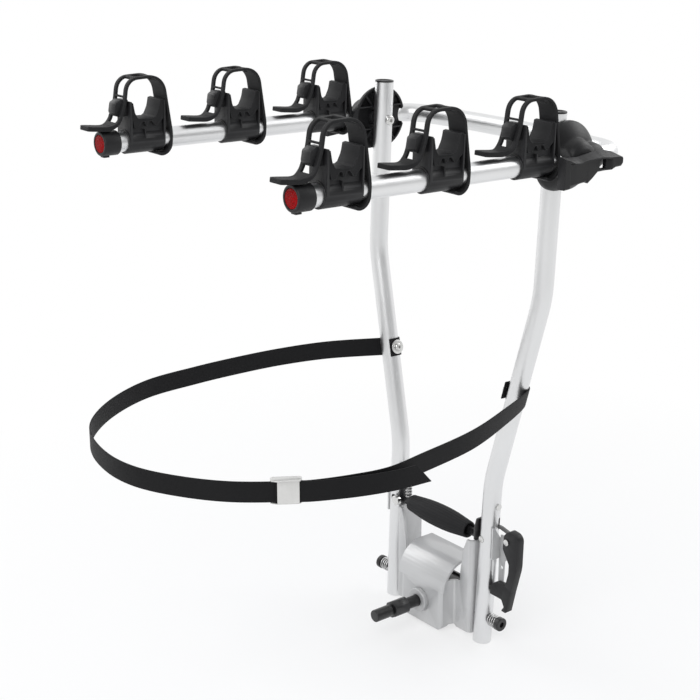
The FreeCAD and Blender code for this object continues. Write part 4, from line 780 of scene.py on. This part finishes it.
def cut_box(piece, low, high):
    """Cuts a box, given by two corners in millimetres, out of a piece."""
    cut_with(piece, start(bpy.ops.mesh.primitive_cube_add, "cutter", size=1.0,
                          location=[(a + b) / 2 * MM for a, b in zip(low, high)],
                          scale=[(b - a) * MM for a, b in zip(low, high)]))


def cradle_pad():
    """The saddle with its lip and its channel."""
    piece = slab("pad_master", PAD_OUTLINE, PAD_HALF, rim=0.9, sink=0.8)
    cut_box(piece, *PAD_CHANNEL)
    rim_round(piece, 0.35)
    print("saddle", len(piece.data.polygons), "faces")
    return piece


# %% [markdown]
# The masters are copied to the six places. The arms' own frame starts at the pivot of the elbows
# and rises by 1.4 degrees. The copies' meshes are moved there, so their objects stay unturned.

# %% Copies on the arms
PIVOT = Vector((0, 30.34, 714.96))
RISE = math.radians(1.4)
ARM_FRAME = Matrix.Translation(PIVOT * MM) @ Matrix.Rotation(-RISE, 4, "X")
ARM_HALF = 216.0
CRADLE_RUNS = (-402.4, -242.4, -82.4)


def copies(master, part, finish, slot):
    """Six copies of a cradle's master, each for its own solid."""
    for side, sign in (("right", 1), ("left", -1)):
        for place, run in enumerate(CRADLE_RUNS, start=1):
            shift = Matrix.Translation(Vector((sign * ARM_HALF, run, 0)) * MM)
            piece = copied(master, f"{part}_{side}_{place}", ARM_FRAME @ shift)
            dressed(piece, finish, f"cradle_{side}_{place}", slot, f"cradle_{part}_{side}_{place}")
    bpy.data.objects.remove(master)


copies(cradle_band(), "strap", RUBBER, "rubber")
copies(cradle_pad(), "pad", RUBBER, "rubber")
low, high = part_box("cradle_strap_right_1")
print("band's solid spans", [round(v / MM, 1) for v in low], [round(v / MM, 1) for v in high])

# %% [markdown]
# ## The elbows
# An elbow is a shallow dome on the outside, with a round boss over its pivot and a bulge where the
# tube leaves it. Inside it is an open disc, stiffened by ribs. Each round form is a circle extruded
# ring by ring, and a swelling is an egg cut flat.

# %% Round forms, ribs and swellings
ALONG_X = (0, math.radians(90), 0)
RIB_MIDDLE, RIB_DEPTH, RIB_WIDTH = 196.7, 6.6, 2.0


def lathe(name, rings, y=0.0, z=0.0, corners=72):
    """A round form along X about (y, z), from rings of place and radius in millimetres."""
    (x, radius), *rest = rings
    piece = start(bpy.ops.mesh.primitive_circle_add, name, vertices=corners, radius=radius * MM,
                  fill_type="NGON", location=(x * MM, y * MM, z * MM), rotation=ALONG_X)
    edit_all()
    for next_x, next_radius in rest:
        grow = next_radius / radius
        bpy.ops.mesh.extrude_region_move(TRANSFORM_OT_translate={"value": ((next_x - x) * MM, 0, 0)})
        bpy.ops.transform.resize(value=(1, grow, grow), center_override=(0, y * MM, z * MM))
        x, radius = next_x, next_radius
    faces_out()
    return piece


def rib(near, far):
    """A rib across the open disc between two places (y, z)."""
    near, far = Vector(near), Vector(far)
    run, middle = far - near, (near + far) / 2
    return start(bpy.ops.mesh.primitive_cube_add, "rib", size=1.0,
                 location=(RIB_MIDDLE * MM, middle.x * MM, middle.y * MM),
                 rotation=(math.atan2(run.y, run.x), 0, 0),
                 scale=(RIB_DEPTH * MM, run.length * MM, RIB_WIDTH * MM))


def bulge(place, sizes):
    """An egg-shaped swelling over the tube, flat on the inside of the elbow."""
    piece = start(bpy.ops.mesh.primitive_uv_sphere_add, "bulge", segments=48, ring_count=24,
                  radius=1.0, location=[v * MM for v in place], scale=[v * MM for v in sizes])
    cut_box(piece, (180, -80, -40), (200.5, 80, 40))
    return piece


# %% [markdown]
# The forms of one moulding are melted into one skin, and the creases between them are eased. A
# Boolean with a cylinder cuts the open disc and the notch for the tube.

# %% Joining and cutting
def joined(first, *others):
    """The pieces as one, under the name of the first."""
    clear()
    for piece in (first, *others):
        piece.select_set(True)
    bpy.context.view_layer.objects.active = first
    bpy.ops.object.join()
    return first


def cut_round(piece, radius, low, high, y):
    """Cuts a cylinder along X, about (y, 0) and from low to high, out of a piece."""
    cut_with(piece, start(bpy.ops.mesh.primitive_cylinder_add, "cutter", vertices=96,
                          radius=radius * MM, depth=(high - low) * MM,
                          location=((low + high) / 2 * MM, y * MM, 0), rotation=ALONG_X))


def moulded_together(*pieces):
    """Joins the forms, melts them into one skin and eases the creases between them."""
    piece = joined(*pieces)
    melt = piece.modifiers.new("melt", "REMESH")
    melt.mode = "VOXEL"
    melt.voxel_size = 1.1 * MM
    ease = piece.modifiers.new("ease", "SMOOTH")
    ease.factor = 0.5
    ease.iterations = 7
    apply_all(piece)
    return piece


# %% [markdown]
# The shell's rings are given as a place along X and a radius. Its dome stands a little in front of
# the pivot, which carries the boss.

# %% Elbow shell
DOME_Y = 7.0
INSIDE_X = 193.3
DOME_RINGS = [(191.0, 47.5), (197.2, 47.4), (200, 46.2), (204, 43.4), (208.5, 39.4),
              (213, 34.6), (217, 29.2), (220, 23), (221.6, 17), (222.5, 8)]
LOBE_RINGS = [(191.0, 37.0), (199, 37.0), (203, 35.8), (208, 32.6), (213, 28), (218, 22), (221, 15),
              (222, 7)]
BOSS_RINGS = [(208, 27.5), (219, 27.5), (221.5, 27.0), (228, 25.0), (233, 21.5), (236.5, 16),
              (238.3, 8)]
CROSS_RIB_Z = 17
SPOKE_ANGLES = (50, 90, 130, 230, 270, 310)


def shell_ribs():
    """Two ribs across the disc, and spokes from them to the rim."""
    ribs = [rib((DOME_Y - 42.5, z), (DOME_Y + 42.5, z)) for z in (CROSS_RIB_Z, -CROSS_RIB_Z)]
    middle = Vector((DOME_Y, 0))
    for angle in SPOKE_ANGLES:
        spoke = Vector((math.cos(math.radians(angle)), math.sin(math.radians(angle))))
        ribs.append(rib(middle + spoke * (CROSS_RIB_Z / abs(spoke.y)), middle + spoke * 45.5))
    return ribs


def elbow_shell():
    """The shell of the right elbow in the arms' frame."""
    outside = moulded_together(lathe("shell_master", DOME_RINGS, DOME_Y),
                               lathe("lobe", LOBE_RINGS, -12.5, -8.5), lathe("boss", BOSS_RINGS),
                               bulge((216, 24, 0), (20.5, 30, 20.5)),
                               bulge((214, -21, -3), (20.0, 34, 20.0)))
    cut_box(outside, (180, -80, -80), (INSIDE_X, 80, 80))
    cut_round(outside, radius=44.2, low=190.0, high=199.8, y=DOME_Y)
    cut_round(outside, radius=19.6, low=190.0, high=260.0, y=67.2)
    hub = lathe("hub", [(200.5, 11), (INSIDE_X, 11)])
    whole = joined(outside, hub, *shell_ribs())
    print("elbow shell", len(whole.data.polygons), "faces")
    rim_round(whole, 0.3, angle=40.0)
    return whole


# %% [markdown]
# The elbow's lever has a sloping lip along its top, a hollow under it and a solid finger tab at the
# back. Its section is laid at stations along Y on a grid, closed along its edges and at its ends.

# %% Elbow lever
LEVER_TOP = [(-57, 12), (-43, 9), (-23, 8.5), (2.5, 12), (15, 13.2), (28, 13.0), (40, 10.5), (49, 7),
             (52, 5.4), (53, 3)]
LEVER_LIP = [(-57, 9), (-50, 7), (-38, 2.4), (-28, 1.4), (-12, 4.2), (5, 5.3), (16, 5.3), (30, 3.6),
             (44, 3.4), (52, 2.4), (53, 0)]
LEVER_LOW = [(-57, -31), (-37, -29), (-17, -26.5), (-7, -25.6), (-5, -28.5), (4, -22.5), (14, -14.5),
             (29, -14), (40, -9.5), (51, -9), (53, -6.5)]
LEVER_INSIDE, LEVER_OUTSIDE, LEVER_HOLLOW = 241.9, 255.6, 248.0
LEVER_BACK, LEVER_STEP, LEVER_STATIONS = -57, 1.25, 89


def height(line, y):
    """The line's height at y."""
    for (y0, z0), (y1, z1) in zip(line, line[1:]):
        if y <= y1:
            return z0 + (z1 - z0) * (y - y0) / (y1 - y0)
    return line[-1][1]


def lever_section(y):
    """The lever's closed section at y; the hollow is filled at the tab and at the front."""
    top, lip, low = (height(line, y) for line in (LEVER_TOP, LEVER_LIP, LEVER_LOW))
    fill = max(0.0, min(1.0, (y - 29) / 4), min(1.0, (-44.5 - y) / 2.5))
    hollow = LEVER_HOLLOW + (LEVER_OUTSIDE - LEVER_HOLLOW) * fill
    return [(LEVER_INSIDE, top), (LEVER_INSIDE + 1.5, top), (LEVER_OUTSIDE, lip + 0.8),
            (LEVER_OUTSIDE, lip - 1.2), (hollow, lip - 2.4), (hollow, low + 2.0),
            (hollow - 1.2, low), (LEVER_INSIDE, low), (LEVER_INSIDE, top)]


def elbow_lever():
    """The lever of the right elbow in the arms' frame."""
    stations = [LEVER_BACK + LEVER_STEP * k for k in range(LEVER_STATIONS)]
    corners = [(x, y, z) for y in stations for x, z in lever_section(y)]
    piece = start(bpy.ops.mesh.primitive_grid_add, "lever_master", size=0.1,
                  x_subdivisions=len(lever_section(LEVER_BACK)) - 1,
                  y_subdivisions=LEVER_STATIONS - 1)
    for vertex, corner in zip(piece.data.vertices, corners):
        vertex.co = Vector(corner) * MM
    edit_all()
    bpy.ops.mesh.remove_doubles(threshold=WELD)
    bpy.ops.mesh.fill_holes(sides=0)
    faces_out()
    cut_box(piece, (240, 16, -11), (250, 28, 2.0))
    rim_round(piece, 0.5, angle=30.0)
    print("elbow lever", len(piece.data.polygons), "faces")
    return piece


# %% [markdown]
# Both are modelled for the right side. The left ones are mirrored copies, with their faces turned
# the right way out again.

# %% Elbows on both sides
def pair(master, part, body, finish, slot, *parts):
    """A right and a left piece from a master modelled on the right of the arms' frame."""
    for side, sign in (("right", 1), ("left", -1)):
        piece = copied(master, f"{part}_{side}", ARM_FRAME @ Matrix.Scale(sign, 4, (1, 0, 0)))
        if sign < 0:
            piece.data.flip_normals()
        dressed(piece, finish, body.format(side), slot, *(f"{name}_{side}" for name in parts))
    bpy.data.objects.remove(master)


pair(elbow_shell(), "elbow_shell", "arms", PLASTIC, "plastic", "elbow_inner", "elbow_outer")
pair(elbow_lever(), "finger_lever", "lever_{}", PLASTIC, "plastic", "elbow_lever")

# %% [markdown]
# ## The end caps
# A cap slips over each arm's end and holds its reflector in a recess. A short nub under it marks
# which way up it sits. It is turned like the elbow's forms and then laid along the arm.

# %% End caps
CAP_RINGS = [(444.6, 14.0), (444.6, 16.2), (445.6, 17.0), (468.2, 17.0), (469.6, 16.4),
             (470.3, 15.2), (470.3, 12.7), (467.7, 12.5)]


def end_cap():
    """The cap of the right arm in the arms' frame."""
    nub = start(bpy.ops.mesh.primitive_cube_add, "nub", size=1.0,
                location=(462 * MM, 0, -17.4 * MM), scale=(9 * MM, 9 * MM, 3 * MM))
    piece = joined(lathe("cap_master", CAP_RINGS), nub)
    onto_arm = Matrix.Translation((ARM_HALF * MM, 0, 0)) @ Matrix.Rotation(math.radians(-90), 4, "Z")
    piece.data.transform(onto_arm)
    rim_round(piece, 0.4)
    print("end cap", len(piece.data.polygons), "faces")
    return piece


pair(end_cap(), "cap", "arms", PLASTIC, "plastic", "end_cap")

# %% [markdown]
# ## The guide bolts
# A hexagon bolt holds each guide bracket from the front. The left one's head stands between bracket
# and tube; the right one is sunk, and just its round end shows.

# %% Guide bolts
def bolt_end(name, corners, x, back, radius, length, inset, lift):
    """A cylinder along Y at x, its front face set in, then pulled out or sunk by the lift."""
    box_low, box_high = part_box("guide_bolts")
    piece = start(bpy.ops.mesh.primitive_cylinder_add, name, vertices=corners, radius=radius * MM,
                  depth=length * MM, rotation=(math.radians(90), 0, 0),
                  location=(x * MM, box_low.y + back * MM, (box_low.z + box_high.z) / 2))
    pick(piece, lambda face: face.normal.y < -0.9)
    bpy.ops.mesh.inset(thickness=inset * MM, depth=lift * MM)
    leave()
    return piece


bolts = joined(bolt_end("bolt_heads", corners=6, x=-89, back=3.4, radius=8.4, length=6.4,
                        inset=1.2, lift=0.9),
               bolt_end("sunk_bolt", corners=40, x=100.5, back=14.6, radius=5.0, length=16,
                        inset=2.0, lift=-1.5))
rim_round(bolts, 0.3)
dressed(bolts, STEEL, "tilt_frame", "steel", "guide_bolts")
print("guide bolts", len(bolts.data.polygons), "faces")

# %% [markdown]
# ## The strap's buckle
# A folded steel frame holds both layers of the webbing, and a cam behind them clamps the tail. Both
# are drawn flat about the origin, then turned to stand on the strap, and they fold away with it.

# %% Buckle drawing
BUCKLE_HALF = 13.6
BUCKLE_FACE = 3.9
BUCKLE_TALL = 14.05
BUCKLE_SHEET = 1.2
BUCKLE_FRONT = -BUCKLE_FACE - BUCKLE_SHEET
BUCKLE_SIDE = [(-BUCKLE_HALF, BUCKLE_FRONT), (BUCKLE_HALF, BUCKLE_FRONT), (17, -1.5), (17, 11, 3),
               (-22, 11, 5), (-22, -1.5, 2)]
CAM_PIN = Vector((-8.0, 5.4))
PIN_RADIUS, DRUM_RADIUS = 1.5, 4.1
CAM_HALF = 13.15
CAM_THUMB = [(11, 6.4), (13, 8.4, 0.6), (11.8, 9.6, 0.6), (9.6, 8.0)]
SLAB_STANDS = Matrix(((0, 1, 0, 0), (0, 0, 1, 0), (1, 0, 0, 0), (0, 0, 0, 1)))
BUCKLE_FRAME = (Matrix.Translation(Vector((214.8, -448.2, STRAP_LEVEL)) * MM)
                @ Matrix.Rotation(math.radians(56.3), 4, "Z") @ SLAB_STANDS)


def arc(radius, first, step, count):
    """Points on a circle about the cam's pin, from the first angle on."""
    turns = [math.radians(first + step * k) for k in range(count)]
    return [CAM_PIN + Vector((math.cos(a), math.sin(a))) * radius for a in turns]


def sheet_plate(name, corners, half_width, shift=0.0):
    """A plate of the outline with softened edges, moved along its thickness."""
    piece = slab(name, corners, half_width)
    rim_round(piece, 0.25)
    piece.data.transform(Matrix.Translation((shift * MM, 0, 0)))
    return piece


# %% [markdown]
# The frame is a face plate with a flange above and below, and the pin passes through both flanges.

# %% Buckle frame
def buckle_frame():
    """Face plate, flanges and pin."""
    face = [(-BUCKLE_HALF, BUCKLE_FRONT), (BUCKLE_HALF, BUCKLE_FRONT),
            (BUCKLE_HALF, -BUCKLE_FACE), (-BUCKLE_HALF, -BUCKLE_FACE)]
    reach = BUCKLE_TALL + BUCKLE_SHEET / 2
    return joined(sheet_plate("strap_buckle_frame", face, reach),
                  sheet_plate("flange", BUCKLE_SIDE, BUCKLE_SHEET / 2, reach),
                  sheet_plate("flange", BUCKLE_SIDE, BUCKLE_SHEET / 2, -reach),
                  sheet_plate("pin", arc(PIN_RADIUS, 0, 15, 24), reach))


frame_piece = buckle_frame()
frame_piece.data.transform(BUCKLE_FRAME)
dressed(frame_piece, STEEL, "tilt_frame", "steel", "strap_buckle")
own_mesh(frame_piece)

# %% [markdown]
# The cam's side view runs round its drum and out along the thumb plate.

# %% Buckle cam
cam_piece = sheet_plate("strap_cam", arc(DRUM_RADIUS, 52, 17, 20) + CAM_THUMB, CAM_HALF)
cam_piece.data.transform(BUCKLE_FRAME)
dressed(cam_piece, STEEL, "cam", "steel", "buckle_cam")
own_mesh(cam_piece)
print("buckle", len(frame_piece.data.polygons), "cam", len(cam_piece.data.polygons))

# %% [markdown]
# ## Springs
# Two springs sit on the tilt pins and one above the release bar. Each is a round wire wound in a
# helix. A small circle is the wire's section, and the Screw modifier winds it round the axis.

# %% Coil springs
def coil(name, foot, axis, radius, wire, length, turns):
    """A coil from its foot along an axis, closed at both ends of its wire."""
    piece = start(bpy.ops.mesh.primitive_circle_add, name, vertices=12, radius=wire / 2 * MM,
                  fill_type="NGON", location=(radius * MM, 0, wire / 2 * MM),
                  rotation=(math.radians(90), 0, 0))
    wind = piece.modifiers.new("wind", "SCREW")
    wind.angle = math.radians(360 * turns)
    wind.screw_offset = (length - wire) * MM
    wind.steps = round(28 * turns)
    wind.render_steps = wind.steps
    wind.use_merge_vertices = False
    apply_all(piece)
    edit_all()
    bpy.ops.mesh.remove_doubles(threshold=WELD)
    faces_out(shade=True)
    piece.matrix_world = (Matrix.Translation(Vector(foot) * MM)
                          @ Vector(axis).to_track_quat("Z", "Y").to_matrix().to_4x4())
    settle(piece)
    return piece


TOP_SPRING_X = -74.0
PIN_SPRING_X = 116.3
spring_low, spring_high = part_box("return_spring")
top_spring = coil("top_spring", (TOP_SPRING_X, 0, spring_low.z / MM), (0, 0, 1),
                  radius=5.0, wire=1.5, length=(spring_high.z - spring_low.z) / MM, turns=7.0)
dressed(top_spring, SPRING_STEEL, "tilt_frame", "steel", "return_spring")
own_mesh(top_spring)
pin_low, pin_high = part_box("pivot_springs")
for name, sign in (("pin_spring_right", 1), ("pin_spring_left", -1)):
    piece = coil(name, (sign * PIN_SPRING_X, 0, 0), (sign, 0, 0), radius=9.0, wire=2.0,
                 length=pin_high.x / MM - PIN_SPRING_X, turns=3.5)
    dressed(piece, SPRING_STEEL, "base", "steel")
    print(name, len(piece.data.polygons), "faces")
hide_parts("pivot_springs")

# %% [markdown]
# ## The hand grip
# The grip is a soft barrel on the release bar, thicker in the middle, with a dark hollow at each
# end. Every fourth of its lines is drawn in, which makes the faint ridges along it.

# %% Hand grip
GRIP_LEVEL = 129.0
GRIP_HALF_RINGS = [(50, 10.2), (65, 10.2), (65, 10.4), (65, 12.2), (64.2, 12.9), (58, 13.6),
                   (45, 15.2), (30, 16.9), (15, 17.8)]
GRIP_RINGS = [(-x, radius) for x, radius in GRIP_HALF_RINGS] + [(0, 18.05)] + GRIP_HALF_RINGS[::-1]
GRIP_CORNERS = 96
RIDGE_DEEP = 0.5
BARREL_LEAST = 12.5


def ridge(piece):
    """Draws every fourth line of the barrel's skin in by a fraction of a millimetre."""
    axis = Vector((0, 0, GRIP_LEVEL * MM))
    for vertex in piece.data.vertices:
        spoke = vertex.co - axis
        spoke.x = 0
        turn = round(math.degrees(math.atan2(spoke.z, spoke.y)) * GRIP_CORNERS / 360)
        if spoke.length > BARREL_LEAST * MM and turn % 4 == 0:
            vertex.co -= spoke.normalized() * RIDGE_DEEP * MM


grip = lathe("grip_barrel", GRIP_RINGS, 0.0, GRIP_LEVEL, GRIP_CORNERS)
ridge(grip)
edit_all()
bpy.ops.mesh.remove_doubles(threshold=WELD)
faces_out(shade=True)
dressed(grip, SOFT_GRIP, "release", "grip", "hand_grip")
print("grip", len(grip.data.polygons), "faces")

# %% [markdown]
# ## Floor and light
# The stage is a pale floor that fades into a white backdrop. Three large soft lamps and an even sky
# light the rack at a level where each colour renders about as written.

# %% Floor
FLOOR_GAP = 0.3
floor = start(bpy.ops.mesh.primitive_plane_add, "floor", size=40.0,
              location=(0, 0, SOLID_BOX[0][2] - FLOOR_GAP * MM))
edit_all()
bpy.ops.mesh.subdivide(number_cuts=3)
bpy.ops.object.mode_set(mode="OBJECT")


def seen(finish):
    """1 for rays from the camera and in mirrors or glass, 0 for the rays that carry light."""
    path = finish.node("ShaderNodeLightPath")
    rays = [Value(finish, path.outputs[name]) for name in ("Is Camera Ray", "Is Glossy Ray",
                                                           "Is Transmission Ray")]
    return (rays[0] + rays[1] + rays[2]).clamped()


def floor_finish():
    """Pale floor that keeps the shadow round the rack and goes to white further out."""
    made = Finish("pale_floor", (0.86, 0.86, 0.86), 0.9)
    cloud = made.noise(2.0, 2.0)
    made.color(made.mix(cloud, (0.85, 0.85, 0.85), (0.87, 0.87, 0.87)))
    away = made.node("ShaderNodeVectorMath", {"operation": "LENGTH"}, {0: made.place}).outputs["Value"]
    fade = ((Value(made, away) - 0.25) * 1.1).clamped()
    white = made.node("ShaderNodeEmission", {}, {"Color": (1, 1, 1, 1), "Strength": 1.0})
    either = made.node("ShaderNodeMixShader", {}, {0: seen(made) * (0.62 + fade * 0.38),
                                                   1: made.surface.outputs[0], 2: white.outputs[0]})
    made.tree.links.new(either.outputs[0], made.tree.nodes["Material Output"].inputs[0])
    return made.material


floor.data.materials.append(floor_finish())
print("floor at", round(SOLID_BOX[0][2] / MM - FLOOR_GAP, 1), "mm")

# %% [markdown]
# The key lamp stands in front on the right; one at the left side and one behind fill the shadows.

# %% Lamps
def area_lamp(name, place, aim, size, power):
    """A rectangular lamp at a place, aimed at a point."""
    lamp = bpy.data.lights.new(name, "AREA")
    lamp.shape = "RECTANGLE"
    lamp.size, lamp.size_y = size
    lamp.energy = power
    holder = bpy.data.objects.new(name, lamp)
    bpy.context.scene.collection.objects.link(holder)
    holder.location = place
    holder.rotation_mode = "QUATERNION"
    holder.rotation_quaternion = (Vector(aim) - Vector(place)).to_track_quat("-Z", "Y")
    print(name, power, "W")


MIDDLE = (0, -0.2, 0.4)
area_lamp("key_lamp", (1.2, -2.6, 2.4), MIDDLE, (2.2, 2.2), 62.0)
area_lamp("side_lamp", (-2.6, -0.6, 1.6), MIDDLE, (1.6, 2.4), 24.0)
area_lamp("back_lamp", (0.6, 2.4, 2.2), MIDDLE, (2.4, 1.2), 26.0)

# %% [markdown]
# The world gives an even, slightly cool light. The camera sees it as plain white; metal sees it
# white behind the rack and greyer towards the camera, which draws the tubes' darker sides.

# %% Sky
class Sky(Finish):
    """The world's shader, written with the same node method and maths as a finish."""

    def __init__(self, world):
        world.use_nodes = True
        self.tree = world.node_tree
        self.tree.nodes.clear()
        self.place = self.node("ShaderNodeTexCoord").outputs["Generated"]


def sky():
    """Even grey light; the backdrop is white, and dimmer in metal towards the camera."""
    world = bpy.data.worlds.new("sky")
    bpy.context.scene.world = world
    made = Sky(world)
    even = made.node("ShaderNodeBackground", {}, {"Color": (0.92, 0.95, 1.0, 1), "Strength": 0.6})
    parts = made.node("ShaderNodeSeparateXYZ", {}, {0: made.place})
    behind = Value(made, parts.outputs[1]) * 0.63 - Value(made, parts.outputs[0]) * 0.78
    camera = Value(made, made.node("ShaderNodeLightPath").outputs["Is Camera Ray"])
    level = ((behind * 1.6 + 0.6).clamped() * 0.5 + 0.5 + camera).clamped()
    white = made.node("ShaderNodeBackground", {}, {"Color": (1, 1, 1, 1), "Strength": level})
    either = made.node("ShaderNodeMixShader", {},
                       {0: seen(made), 1: even.outputs[0], 2: white.outputs[0]})
    out = made.node("ShaderNodeOutputWorld")
    made.tree.links.new(either.outputs[0], out.inputs[0])


sky()
print("world:", bpy.context.scene.world.name)
